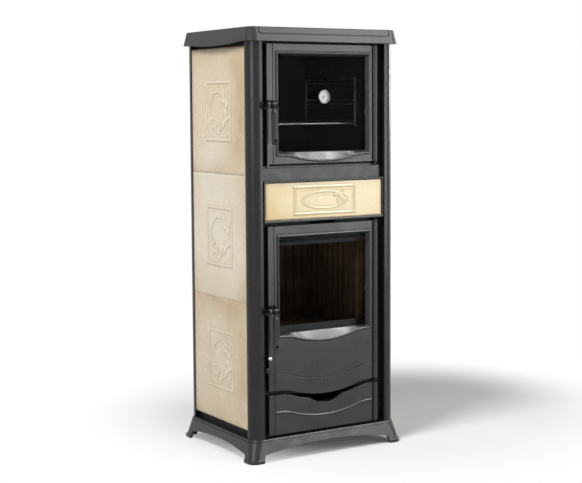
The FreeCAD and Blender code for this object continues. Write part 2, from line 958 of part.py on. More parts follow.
def hinge_pins():
    """Two pins for each door; the lower one has a collar that carries the door."""
    pins = []
    for door in (oven_door, fire_door):
        low = lower_lug_height(door)
        pin = rod(V(barrel_x, barrel_y, low), V(barrel_x, barrel_y, door.foot + pin_reach), pin_radius)
        collar = rod(
            V(barrel_x, barrel_y, low + lug_thickness),
            V(barrel_x, barrel_y, door.foot - seat_gap),
            pin_collar_radius,
        )
        pins.append(joined(pin, collar))
        high = upper_lug_height(door) + lug_thickness
        start = V(barrel_x, barrel_y, door.head - pin_reach)
        pins.append(rod(start, V(barrel_x, barrel_y, high), pin_radius))
    return Part.makeCompound(pins)


def band_panel():
    """The folded panel under the oven, with the ledge and the rest that the closed door sits over."""
    half = post_inner_x - band_side_gap
    front = frame_front - band_depth
    panel = block((-half, half), (front, frame_front), (tile_frame_head, band_head))
    inside = block(
        (band_sheet - half, half - band_sheet),
        (front + band_sheet, frame_front + overrun),
        (tile_frame_head + band_sheet, band_head - band_sheet),
    )
    ledge_low = band_head + ledge_neck
    ledge_right = barrel_x - lug_radius - ledge_lug_room
    neck = block((-half, ledge_right), (frame_front - ledge_neck_depth, frame_front), (band_head, ledge_low))
    ledge = block(
        (-half, ledge_right),
        (frame_front - ledge_depth, frame_front),
        (ledge_low, ledge_low + ledge_height),
    )
    rest_left = rest_inset - door_half
    rest = block(
        (rest_left, rest_left + rest_width),
        (frame_front - rest_depth, frame_front),
        (ledge_low, oven_foot - seat_gap),
    )
    return joined(panel.cut(inside), neck, ledge, rest)


def front_tile_frame():
    """The metal surround of the front tile, bevelled towards the tile."""
    half = post_inner_x - tile_frame_side_gap
    front = tile_frame_recess - half_depth
    surround = block((-half, half), (front, frame_front), (tile_frame_foot, tile_frame_head))
    inner_half = half - tile_frame_side
    low = tile_frame_foot + tile_frame_rail
    high = tile_frame_head - tile_frame_rail
    hole = block((-inner_half, inner_half), (front - overrun, frame_front + overrun), (low, high))
    bevel = frustum(
        rectangle_xz(inner_half + tile_frame_bevel, low - tile_frame_bevel, high + tile_frame_bevel, front),
        rectangle_xz(inner_half, low, high, front + front_tile_recess),
    )
    return surround.cut([hole, bevel])


def front_tile():
    """The wide tile between the doors."""
    half_x = post_inner_x - tile_frame_side_gap - tile_frame_side - tile_play
    half_z = tile_frame_height / 2 - tile_frame_rail - tile_play
    tile = relief_tile(
        half_x, half_z, (front_relief_width, front_relief_height), (front_oval_width, front_oval_height)
    )
    tile_front = tile_frame_recess + front_tile_recess + relief_height - half_depth
    middle = (tile_frame_foot + tile_frame_head) / 2
    tile.translate(V(0, tile_front + tile_thickness, middle))
    backing = block(
        (-half_x, half_x), (tile_front + tile_thickness, frame_front), (middle - half_z, middle + half_z)
    )
    return joined(tile, backing)


def latch_keeper(height):
    """A plate on the front frame with the pin that a door's hook takes hold of."""
    pin_y = handle_y + keeper_reach
    low = height - keeper_half_height
    high = height + keeper_half_height
    cheek = block((keeper_x, keeper_x + keeper_plate), (pin_y - keeper_front, frame_front), (low, high))
    foot_right = keeper_x + keeper_foot_width
    foot = block((keeper_x, foot_right), (frame_front - keeper_foot, frame_front), (low, high))
    pin = rod(V(keeper_x, pin_y, height), V(hook_right + keeper_pin_spare, pin_y, height), keeper_pin_radius)
    return joined(cheek, foot, pin)


def latch_keepers():
    return Part.makeCompound([latch_keeper(door.handle_height) for door in (oven_door, fire_door)])


# Doors

def window_outline(window, spread, y):
    """Closed outline of a door's window, spread outwards, with its waved sill at the bottom."""
    half = window_half + spread
    top = window.head + spread
    foot = window.level - spread
    start = V(-sill_wave_half, y, foot)
    end = V(sill_wave_half, y, foot)
    edges = wave(sill_wave_half, window.dip, window.level, spread, y)
    edges += polyline([end, V(half, y, foot), V(half, y, top), V(-half, y, top), V(-half, y, foot), start])
    return Part.Wire(edges)


def glass_outline(window, y):
    """The straight outline of the window at the glass, divided like the waved one."""
    ratio = glass_half / window_half
    ends = wave_points(sill_wave_half, window.dip, window.level, 0, y)
    foot = [V(points[0].x * ratio, y, window.glass_foot) for points in ends]
    foot.append(V(ends[-1][-1].x * ratio, y, window.glass_foot))
    foot += [
        V(glass_half, y, window.glass_foot),
        V(glass_half, y, window.glass_head),
        V(-glass_half, y, window.glass_head),
        V(-glass_half, y, window.glass_foot),
    ]
    return Part.Wire(polyline(foot + foot[:1]))


def pane_box(window, play, y):
    """The space of a glass pane, or of its rebate when given some play."""
    margin = glass_lap + play
    half = glass_half + margin
    return block((-half, half), y, (window.glass_foot - margin, window.glass_head + margin))


def gasket_ring(door, width, y):
    """A rectangular ring round the frame's opening, on the back of a door."""
    low, high = frame_opening(door)
    outer = gasket_offset + width / 2
    inner = gasket_offset - width / 2
    half = frame_opening_half + outer
    ring = block((-half, half), y, (low - outer, high + outer))
    half = frame_opening_half + inner
    hole = block((-half, half), (y[0] - overrun, y[1] + overrun), (low - inner, high + inner))
    return ring.cut(hole)


def door_slab(foot, head, dip):
    """The flat body of a door or drawer front with its hinge barrel: all but the window."""
    start = V(-door_half, door_front, foot)
    end = V(slab_right, door_front, foot)
    if dip:
        edges = [line(start, V(-wave_half, door_front, foot))]
        edges += wave(wave_half, dip, foot, 0, door_front)
        edges.append(line(V(wave_half, door_front, foot), end))
    else:
        edges = [line(start, end)]
    edges += polyline([end, V(slab_right, door_front, head), V(-door_half, door_front, head), start])
    slab = prism(edges, V(0, door_back - door_front, 0))
    step = block(
        (-door_half - overrun, strip_inner_x),
        (door_front - overrun, door_front + strip_step),
        (foot - overrun, head + overrun),
    )
    web = block((slab_right - overrun, barrel_x), (door_back - barrel_web, door_back), (foot, head))
    barrel = rod(V(barrel_x, barrel_y, foot), V(barrel_x, barrel_y, head), barrel_radius)
    return joined(slab.cut(step), web, barrel)


def door_casting(door):
    """A door's frame: the window is lofted from the waved sill in front to the straight glass behind.

    A bead, bevelled on both sides, with a fine line outside it runs round the window and follows the sill.
    """
    window = door.window
    crown = door_front - bead_height
    slab = door_slab(door.foot, door.head, door.dip)
    bead = frustum(
        window_outline(window, bead_width, door_front),
        window_outline(window, bead_width - bead_bevel, crown),
    )
    line_outer = Part.Face(window_outline(window, bead_width + bead_line, door_front))
    line_inner = Part.Face(window_outline(window, bead_width, door_front))
    bead_groove = line_outer.cut(line_inner).extrude(V(0, bead_line_depth, 0))
    mouth = Part.Face(window_outline(window, 0, crown - overrun)).extrude(V(0, overrun + bead_height, 0))
    brim = frustum(window_outline(window, 0, door_front), window_outline(window, bead_bevel, crown))
    funnel = frustum(window_outline(window, 0, door_front), glass_outline(window, glass_front))
    rebate = pane_box(window, seat_gap, (glass_front, door_back + overrun))
    seal = gasket_ring(door, gasket_width, (door_back - gasket_groove_depth, door_back + overrun))
    bores = []
    depth = pin_reach + pin_bore_spare
    for low, high in ((door.foot - overrun, door.foot + depth), (door.head - depth, door.head + overrun)):
        bore_radius = pin_radius + fit_gap
        bores.append(rod(V(barrel_x, barrel_y, low), V(barrel_x, barrel_y, high), bore_radius))
    casting = joined(slab, bead)
    return casting.cut([mouth, brim, funnel, rebate, seal, bead_groove] + bores)


def oven_door_casting():
    return door_casting(oven_door)


def fire_door_casting():
    """The fire door has a second wave, a fine line across the panel below its window."""
    level = fire_foot + panel_line_rise
    groove = wave_band(
        wave_half, panel_line_end, wave_dip, level, panel_line_width,
        door_front - overrun, door_front + panel_line_depth,
    )
    inside = block((strip_inner_x, slab_right), (door_front - overrun, door_back), (fire_foot, fire_head))
    return door_casting(fire_door).cut(groove.common(inside))


def oven_door_glass():
    """The oven's pane, with the hole for the thermometer's probe."""
    pane = pane_box(oven_door.window, 0, (glass_front, glass_back))
    centre = dial_centre()
    hole = rod(
        V(centre.x, glass_front - overrun, centre.z),
        V(centre.x, glass_back + overrun, centre.z),
        probe_radius + probe_hole_gap,
    )
    return pane.cut(hole)


def fire_door_glass():
    return pane_box(fire_door.window, 0, (glass_front, glass_back))


def glass_retainer(door):
    """The steel ring that holds a pane in its rebate."""
    depth = (glass_back, glass_back + retainer_thickness)
    ring = pane_box(door.window, 0, depth)
    half = glass_half + retainer_set_back
    hole = block(
        (-half, half),
        (depth[0] - overrun, depth[1] + overrun),
        (door.window.glass_foot - retainer_set_back, door.window.glass_head + retainer_set_back),
    )
    return ring.cut(hole)


def door_gasket(door):
    """The rope seal, bedded in its groove and rounded towards the frame."""
    top = frame_front - seat_gap
    ring = gasket_ring(door, gasket_width, (door_back - gasket_groove_depth, top))
    rim = [edge for edge in ring.Edges if edge.BoundBox.YMin > top - seat_gap]
    return ring.makeFillet(gasket_round, rim)


# Handles

def handle_bracket(door):
    """The clevis on a door's left stile that carries the handle's shaft."""
    z = door.handle_height
    stile = door_front + strip_step
    left = handle_x - bracket_width / 2
    right = handle_x + bracket_width / 2
    low = z - bracket_height / 2
    high = z + bracket_height / 2
    base = block((left, right), (stile - bracket_base, stile), (low, high))
    ears = []
    for start in (left, right - cheek_thickness):
        points = [
            V(start, stile - bracket_base, low),
            V(start, stile - bracket_base, high),
            V(start, handle_y, z + cheek_radius),
            V(start, handle_y, z - cheek_radius),
        ]
        ear = profile_prism(points, V(cheek_thickness, 0, 0))
        nose = rod(V(start, handle_y, z), V(start + cheek_thickness, handle_y, z), cheek_radius)
        ears += [ear, nose]
    bore = rod(V(left - overrun, handle_y, z), V(right + overrun, handle_y, z), shaft_radius + fit_gap)
    return joined(base, *ears).cut(bore)


def handle_lever(door):
    """The hanging grip, its shaft, and the hook that the shaft turns in the gap beside the door."""
    z = door.handle_height
    right = handle_x + bracket_width / 2
    shaft = rod(V(hook_left, handle_y, z), V(right, handle_y, z), shaft_radius)
    head_half = bracket_width / 2 - cheek_thickness - cheek_play
    head = rod(V(handle_x - head_half, handle_y, z), V(handle_x + head_half, handle_y, z), head_radius)
    end = z - grip_length
    full = z - neck_length - grip_taper
    round_centre = end + grip_radius
    slant = grip_radius * math.cos(math.radians(45))

    def side(radius, height):
        return V(handle_x + radius, handle_y, height)

    profile = polyline([side(0, end), side(0, z), side(neck_radius, z), side(neck_radius, z - neck_length),
                        side(grip_radius, full), side(grip_radius, round_centre)])
    profile.append(arc(side(grip_radius, round_centre), side(slant, round_centre - slant), side(0, end)))
    grip = turned(profile, V(handle_x, handle_y, z), ALONG_Z)
    hole_z = end + grip_hole_rise
    hole = rod(
        V(handle_x, handle_y - grip_radius - overrun, hole_z),
        V(handle_x, handle_y + grip_radius + overrun, hole_z),
        grip_hole_radius,
    )
    return joined(grip.cut(hole), head, shaft, latch_hook(z))


def latch_hook(z):
    """The hook plate: an arm that runs back under the keeper's pin and turns up behind it."""
    arm = profile_prism([
        V(hook_left, handle_y, z - hook_arm_low),
        V(hook_left, handle_y + hook_nose_back, z - hook_arm_low),
        V(hook_left, handle_y + hook_nose_back, z + hook_nose_top),
        V(hook_left, handle_y + hook_nose_front, z + hook_nose_top),
        V(hook_left, handle_y + hook_nose_front, z - hook_arm_top),
        V(hook_left, handle_y, z - hook_arm_top),
    ], V(hook_thickness, 0, 0))
    eye = rod(V(hook_left, handle_y, z), V(hook_right, handle_y, z), hook_eye_radius)
    cheek = block((hook_left, hook_right), (handle_y - hook_eye_radius, handle_y), (z - hook_arm_low, z))
    return joined(arm, eye, cheek)


# Thermometer

def dial_centre():
    """Middle of the dial, on the front of the oven glass."""
    window = oven_door.window
    return V(0, glass_front, window.glass_foot + dial_height_share * (window.glass_head - window.glass_foot))


def thermometer_case():
    """The turned case with its cup, and the threaded probe with its nut behind the glass."""
    centre = dial_centre()
    front = centre.y - dial_case_depth

    def side(radius, y):
        return V(radius, y, centre.z)

    floor = front + dial_cup_depth
    case = turned(polyline([
        side(0, floor), side(dial_cup_radius, floor), side(dial_cup_radius, front),
        side(dial_case_radius - dial_bezel_round, front), side(dial_case_radius, front + dial_bezel_round),
        side(dial_case_radius, centre.y), side(0, centre.y), side(0, floor),
    ]), centre, ALONG_Y)
    nut = rod(V(0, glass_back, centre.z), V(0, glass_back + probe_nut_thickness, centre.z), probe_nut_radius)
    probe = rod(centre, V(0, glass_back + probe_length, centre.z), probe_radius)
    return joined(case, nut, probe)


def dial_floor():
    return glass_front - dial_case_depth + dial_cup_depth


def thermometer_dial():
    """The printed plate on the floor of the cup."""
    z = dial_centre().z
    return rod(V(0, dial_floor() - dial_plate_thickness, z), V(0, dial_floor(), z), dial_cup_radius)


def thermometer_lens():
    z = dial_centre().z
    front = glass_front - dial_case_depth + dial_lens_set_back
    return rod(V(0, front, z), V(0, front + dial_lens_thickness, z), dial_cup_radius)


def thermometer_needle():
    """The pointer, tapered to its tip, with a balancing tail, at the cold end of the scale."""
    z = dial_centre().z
    back = dial_floor() - dial_plate_thickness - needle_gap
    front = back - needle_thickness
    half = needle_width / 2
    blade = profile_prism([
        V(-half, front, z), V(-half, front, z - needle_tail), V(half, front, z - needle_tail),
        V(half, front, z), V(0, front, z + needle_length),
    ], V(0, needle_thickness, 0))
    hub = rod(V(0, front, z), V(0, back + needle_gap - seat_gap, z), needle_hub_radius)
    needle = joined(blade, hub)
    needle.rotate(V(0, front, z), ALONG_Y, -needle_rest_turn)
    return needle


# Bottom drawer

def drawer_top_cut():
    """All that lies above the drawer front's waved edge, with the finger scoop in its middle."""
    crest = [
        line(V(-door_half - overrun, door_front - overrun, drawer_head),
             V(-wave_half, door_front - overrun, drawer_head)),
    ]
    crest += wave(wave_half, wave_dip, drawer_head, 0, door_front - overrun)
    high = drawer_head + wave_dip
    far = door_half + overrun
    crest += polyline([
        V(wave_half, door_front - overrun, drawer_head), V(far, door_front - overrun, drawer_head),
        V(far, door_front - overrun, high), V(-far, door_front - overrun, high),
        V(-far, door_front - overrun, drawer_head),
    ])
    depth = V(0, door_back - door_front + 2 * overrun, 0)
    radius = wave_hollow_radius()
    wave_low = drawer_head - wave_dip
    scoop_level = wave_low + radius - math.sqrt(radius * radius - scoop_half * scoop_half)
    scoop = wave(scoop_half, scoop_level - wave_low + scoop_dip, scoop_level, 0, door_front - overrun)
    scoop += polyline([
        V(scoop_half, door_front - overrun, scoop_level), V(scoop_half, door_front - overrun, high),
        V(-scoop_half, door_front - overrun, high), V(-scoop_half, door_front - overrun, scoop_level),
    ])
    return [prism(crest, depth), prism(scoop, depth)]


def wave_hollow_radius():
    """Radius of the long hollow of the door and drawer waves."""
    turn = 2 * math.atan2(wave_dip, wave_half)
    return wave_hollow_share * wave_half / math.sin(turn)


def drawer_front():
    """The bottom panel: waved top edge with a finger scoop, and a raised, bevelled rib below it."""
    slab = door_slab(drawer_foot, drawer_head, 0).cut(drawer_top_cut())
    rib = wave_band(
        wave_half, panel_line_end, wave_dip, drawer_head - drawer_rib_drop, drawer_rib_width,
        door_front - drawer_rib_height, door_front + drawer_rib_height,
    )
    crest = [edge for edge in rib.Edges if edge.BoundBox.YMax < door_front and edge.Length > drawer_rib_width]
    rib = rib.makeChamfer(drawer_rib_bevel, crest)
    inside = block((strip_inner_x, slab_right), (door_front - overrun, door_back), (drawer_foot, drawer_head))
    return joined(slab, rib.common(inside))


def drawer_box():
    """The open steel tray behind the drawer front."""
    low = base_height + drawer_box_lift
    high = low + drawer_box_height
    tray = block((-drawer_box_half, drawer_box_half), (door_back, drawer_box_back), (low, high))
    inside = block(
        (drawer_sheet - drawer_box_half, drawer_box_half - drawer_sheet),
        (door_back + drawer_sheet, drawer_box_back - drawer_sheet),
        (low + drawer_sheet, high + overrun),
    )
    return tray.cut(inside)


def drawer_runners():
    """Two channels on the base that the drawer slides over."""
    rails = []
    high = base_height + drawer_box_lift - seat_gap
    outer = drawer_box_half - runner_inset
    inner = outer - runner_width
    for low_x, high_x in ((inner, outer), (-outer, -inner)):
        rail = block((low_x, high_x), (runner_front, drawer_box_back), (base_height, high))
        channel = block(
            (low_x + runner_wall, high_x - runner_wall),
            (runner_front - overrun, drawer_box_back + overrun),
            (base_height - overrun, high - runner_wall),
        )
        rails.append(rail.cut(channel))
    return Part.makeCompound(rails)


# Firebox

def firebox_shell():
    """The welded steel box round the fire: air slots and the rods' guide on its left wall."""
    back = firebox_back + shell_wall
    shell = block((-shell_outer, shell_outer), (frame_back, back), (shell_foot, shell_head))
    inside = block(
        (-firebox_half, firebox_half), (frame_back - overrun, firebox_back),
        (shell_foot + shell_wall, shell_head - shell_wall),
    )
    smoke = block(
        (-smoke_hole_half, smoke_hole_half), (smoke_hole_front, firebox_back),
        (shell_head - 2 * shell_wall, shell_head + overrun),
    )
    cuts = [inside, smoke]
    for rise in (primary_air_rise, secondary_air_rise):
        z = air_height(rise)
        for number in range(air_slots):
            start = shutter_front + number * air_slot_pitch + air_slot_width / 2
            cuts.append(block(
                (-shell_outer - overrun, overrun - firebox_half),
                (start, start + air_slot_width),
                (z - air_slot_half_height, z + air_slot_half_height),
            ))
    low = air_height(secondary_air_rise) - air_guide_margin
    high = air_height(primary_air_rise) + air_guide_margin
    guide_left = air_guide_spare - post_inner_x
    guide = block((guide_left, -shell_outer), (air_guide_front, air_guide_back), (low, high))
    bores = []
    for rise in (primary_air_rise, secondary_air_rise):
        z = air_height(rise)
        bores.append(rod(
            V(air_x, air_guide_front - overrun, z),
            V(air_x, air_guide_back + overrun, z),
            air_rod_radius + fit_gap,
        ))
    return joined(shell.cut(cuts), guide.cut(bores))


def hearth_plate():
    """The cast floor of the fire, with the rebated hole that the grate drops into."""
    low = hearth_top - hearth_thickness
    plate = block((-liner_half, liner_half), (frame_back, firebox_back - seat_gap), (low, hearth_top))
    hole_half = grate_half - grate_rebate
    hole = block(
        (-hole_half, hole_half), (grate_centre - hole_half, grate_centre + hole_half),
        (low - overrun, hearth_top + overrun),
    )
    seat = block(
        (-grate_half, grate_half), (grate_centre - grate_half, grate_centre + grate_half),
        (hearth_top - grate_rebate_depth, hearth_top + overrun),
    )
    ledge_low = shell_foot + shell_wall
    feet = []
    for x in (-liner_half, liner_half - shell_wall):
        feet.append(block((x, x + shell_wall), (frame_back, firebox_back - seat_gap), (ledge_low, low)))
    return joined(plate.cut([hole, seat]), *feet)


def fire_grate():
    """The cast grate: a rim with bars between long slots."""
    half = grate_half - seat_gap
    low = hearth_top - grate_rebate_depth
    rim = block((-half, half), (grate_centre - half, grate_centre + half), (low, low + grate_thickness))
    pitch = 2 * (half - grate_rebate) / grate_bars
    gap = pitch * (1 - grate_bar_share)
    slots = []
    for number in range(grate_bars):
        x = grate_rebate - half + (number + 1 / 2) * pitch
        slots.append(block(
            (x - gap / 2, x + gap / 2),
            (grate_centre - half + 2 * grate_rebate, grate_centre + half - 2 * grate_rebate),
            (low - overrun, low + grate_thickness + overrun),
        ))
    return rim.cut(slots)


def ribbed_slab(length, height):
    """A liner plate along +X with its back on the XZ plane and upright ribs towards -Y."""
    count = int(length // liner_rib_pitch)
    pitch = length / count
    top = pitch * liner_rib_share
    draft = pitch * liner_draft_share / 2
    points = [V(0, 0, 0), V(0, -liner_plate, 0)]
    for number in range(count):
        start = number * pitch + (pitch - top) / 2
        points += [
            V(start, -liner_plate, 0), V(start + draft, -liner_thickness, 0),
            V(start + top - draft, -liner_thickness, 0), V(start + top, -liner_plate, 0),
        ]
    points += [V(length, -liner_plate, 0), V(length, 0, 0)]
    return profile_prism(points, V(0, 0, height))


def liner_back():
    length = 2 * (liner_half - liner_thickness - seat_gap)
    slab = ribbed_slab(length, liner_height_back)
    slab.translate(V(-length / 2, firebox_back - seat_gap, hearth_top))
    return slab


def liner_run():
    """Front and back ends of the side liners."""
    return frame_back + liner_front, firebox_back - seat_gap


def liner_left():
    """The left liner; its top edge slopes down to the back to carry the baffle."""
    front, back = liner_run()
    slab = ribbed_slab(back - front, liner_height_front)
    slab.rotate(ORIGIN, ALONG_Z, 90)
    slab.translate(V(-liner_half, front, hearth_top))
    far = liner_half + overrun
    above = profile_prism([
        V(-far, front, hearth_top + liner_height_front),
        V(-far, back, hearth_top + liner_height_back),
        V(-far, back + overrun, hearth_top + liner_height_back),
        V(-far, back + overrun, hearth_top + liner_height_front + overrun),
        V(-far, front, hearth_top + liner_height_front + overrun),
    ], V(far, 0, 0))
    return slab.cut(above)


def liner_right():
    return mirror_x(liner_left())


def baffle_plate():
    """The sloping plate over the fire; smoke passes through the throat in front of it."""
    front, back = liner_run()
    slope = (liner_height_back - liner_height_front) / (back - front)
    start = front + baffle_throat
    low = hearth_top + liner_height_front + slope * baffle_throat
    end = hearth_top + liner_height_back
    half = liner_half - seat_gap
    return profile_prism([
        V(-half, start, low), V(-half, back, end),
        V(-half, back, end + baffle_thickness), V(-half, start, low + baffle_thickness),
    ], V(2 * half, 0, 0))


def air_deflector():
    """The bent strip that turns air down over the fire glass."""
    top = fire_door.window.glass_head - deflector_fall
    low = top - deflector_lip
    across = (-deflector_half, deflector_half)
    back = frame_back + deflector_depth
    shelf = block(across, (frame_back, back), (top - deflector_sheet, top))
    lip = block(across, (back - deflector_sheet, back), (low, top))
    flange = block(across, (frame_back, frame_back + deflector_sheet), (top, top + deflector_drop))
    return joined(shelf, lip, flange)


def log_guard():
    """The cast bar that keeps logs off the glass; it leans back a little."""
    front = frame_back + guard_set_back
    half = liner_half - liner_thickness - seat_gap
    return profile_prism([
        V(-half, front, hearth_top), V(-half, front + guard_lean, hearth_top + guard_height),
        V(-half, front + guard_thickness - guard_lean / 2, hearth_top + guard_height),
        V(-half, front + guard_thickness, hearth_top),
    ], V(2 * half, 0, 0))


def ash_pan():
    """The pan under the grate, with a finger lip at its front."""
    low = shell_foot + shell_wall
    high = low + ash_pan_height
    pan = block((-ash_pan_half, ash_pan_half), (ash_pan_front, ash_pan_back), (low, high))
    inside = block(
        (ash_pan_sheet - ash_pan_half, ash_pan_half - ash_pan_sheet),
        (ash_pan_front + ash_pan_sheet, ash_pan_back - ash_pan_sheet),
        (low + ash_pan_sheet, high + overrun),
    )
    lip_front = ash_pan_front - ash_pan_lip
    lip = block((-ash_pan_half, ash_pan_half), (lip_front, ash_pan_front), (high - ash_pan_sheet, high))
    return joined(pan.cut(inside), lip)


# Oven

def oven_jacket():
    """The smoke box round the oven, open to the firebox below and to the flue behind."""
    jacket = block((-jacket_half, jacket_half), (frame_back, jacket_back), (shell_head, jacket_head))
    inner = jacket_half - jacket_wall
    inside = block(
        (-inner, inner), (frame_back - overrun, jacket_back - jacket_wall),
        (shell_head + jacket_wall, jacket_head - jacket_wall),
    )
    smoke = block(
        (-smoke_hole_half, smoke_hole_half), (smoke_hole_front, firebox_back),
        (shell_head - overrun, shell_head + 2 * jacket_wall),
    )
    flue = rod(
        V(0, jacket_back - 2 * jacket_wall, flue_height), V(0, jacket_back + overrun, flue_height),
        flue_radius - flue_wall,
    )
    return jacket.cut([inside, smoke, flue])


def flue_collar():
    """The round spigot that a flue pipe slides over, with its flange on the smoke box."""
    tube = rod(V(0, jacket_back, flue_height), V(0, flue_reach, flue_height), flue_radius)
    flange = rod(
        V(0, jacket_back, flue_height), V(0, jacket_back + flue_flange_thickness, flue_height),
        flue_radius + flue_flange,
    )
    bore = rod(
        V(0, jacket_back - overrun, flue_height), V(0, flue_reach + overrun, flue_height),
        flue_radius - flue_wall,
    )
    return joined(tube, flange).cut(bore)


def oven_box():
    """The oven's steel muffle, open to the front, with a flange that closes on the front frame."""
    outer = oven_half + oven_wall
    box = block(
        (-outer, outer), (frame_back, oven_back + oven_wall), (oven_floor - oven_wall, oven_roof + oven_wall)
    )
    edge = frame_opening_half + oven_flange_lap
    low, high = frame_opening(oven_door)
    flange = block(
        (-edge, edge), (frame_back, frame_back + oven_wall), (low - oven_flange_lap, high + oven_flange_lap)
    )
    inside = block((-oven_half, oven_half), (frame_back - overrun, oven_back), (oven_floor, oven_roof))
    return joined(box, flange).cut(inside)


def rack_heights():
    """Heights of the lower and upper rail of each shelf place."""
    return [oven_floor + rack_low + level * rack_pitch for level in range(rack_levels)]


def oven_rack():
    """The left wire rack: two uprights on pads, and a pair of rails for each shelf place."""
    upright_x = seat_gap + rack_wire_radius - oven_half
    rail_x = upright_x + 2 * rack_wire_radius
    heights = rack_heights()
    low = heights[0] - rack_spare
    high = heights[-1] + rack_pair + rack_spare
    wires = []
    for y in (rack_front, rack_back):
        wires.append(rod(V(upright_x, y, low), V(upright_x, y, high), rack_wire_radius))
        for z in (low + rack_spare / 2, high - rack_spare / 2):
            wires.append(rod(V(-oven_half, y, z), V(upright_x, y, z), rack_pad_radius))
    for height in heights:
        for z in (height, height + rack_pair):
            for y in (rack_front, rack_back):
                wires.append(rod(V(upright_x, y, z), V(rail_x, y, z), rack_stub_radius))
            wires.append(rod(
                V(rail_x, rack_front - rack_wire_radius, z), V(rail_x, rack_back + rack_wire_radius, z),
                rack_wire_radius,
            ))
    return joined(wires[0], *wires[1:])


def oven_racks():
    rack = oven_rack()
    return Part.makeCompound([rack, mirror_x(rack)])


def oven_shelf():
    """The wire shelf on the lowest rails: a rim of rod with wires from front to back."""
    z = rack_heights()[0] + rack_wire_radius + shelf_rim_radius
    half = oven_half - seat_gap - 3 * rack_wire_radius
    wires = []
    for x in (-half, half):
        wires.append(rod(V(x, shelf_front, z), V(x, shelf_back, z), shelf_side_radius))
    end = half + shelf_rim_radius
    for y in (shelf_front, shelf_back):
        wires.append(rod(V(-end, y, z), V(end, y, z), shelf_rim_radius))
    pitch = 2 * half / (shelf_wires + 1)
    for number in range(shelf_wires):
        x = (number + 1) * pitch - half
        wires.append(rod(V(x, shelf_front, z), V(x, shelf_back, z), shelf_wire_radius))
    return joined(wires[0], *wires[1:])


# Air controls

def air_rod(rise, knob_stand):
    """A control rod with the shutter that it draws along the firebox wall."""
    z = air_height(rise)
    rod_front = -half_depth - knob_stand
    bar = rod(V(air_x, rod_front, z), V(air_x, air_rod_rear, z), air_rod_radius)
    plate_right = -shell_outer - seat_gap
    plate = block(
        (plate_right - shutter_sheet, plate_right), (shutter_front, shutter_back),
        (z - shutter_half_height, z + shutter_half_height),
    )
    arm_y = (shutter_front + shutter_back) / 2
    arm = block(
        (air_x, plate_right), (arm_y - shutter_arm / 2, arm_y + shutter_arm / 2),
        (z - shutter_arm_half_height, z + shutter_arm_half_height),
    )
    return joined(bar, plate, arm)


def primary_air_rod():
    return air_rod(primary_air_rise, primary_knob_stand)


def secondary_air_rod():
    return air_rod(secondary_air_rise, secondary_knob_stand)


def primary_air_knob():
    """A bright ball on the end of the upper rod."""
    z = air_height(primary_air_rise)
    middle = V(air_x, -half_depth - primary_knob_stand, z)
    ball = Part.makeSphere(primary_ball_radius, middle)
    socket = rod(middle, middle + V(0, primary_ball_radius + overrun, 0), air_rod_radius)
    return ball.cut(socket)


def secondary_air_knob():
    """A turned black knob on the end of the lower rod."""
    z = air_height(secondary_air_rise)
    back = -half_depth - secondary_knob_stand + secondary_knob_length / 2
    front = back - secondary_knob_length
    shoulder = back - secondary_knob_neck_length
    slant = secondary_knob_round * (1 - math.cos(math.radians(45)))

    def side(radius, y):
        return V(air_x + radius, y, z)

    profile = polyline([
        side(0, front), side(0, back), side(secondary_knob_neck, back), side(secondary_knob_neck, shoulder),
        side(secondary_knob_radius, shoulder - secondary_knob_round),
        side(secondary_knob_radius, front + secondary_knob_round),
    ])
    profile.append(arc(
        side(secondary_knob_radius, front + secondary_knob_round),
        side(secondary_knob_radius - slant, front + slant),
        side(secondary_knob_radius - secondary_knob_round, front),
    ))
    profile.append(line(side(secondary_knob_radius - secondary_knob_round, front), side(0, front)))
    knob = turned(profile, V(air_x, front, z), ALONG_Y)
    rod_front = -half_depth - secondary_knob_stand
    socket = rod(V(air_x, rod_front, z), V(air_x, back + overrun, z), air_rod_radius)
    return knob.cut(socket)


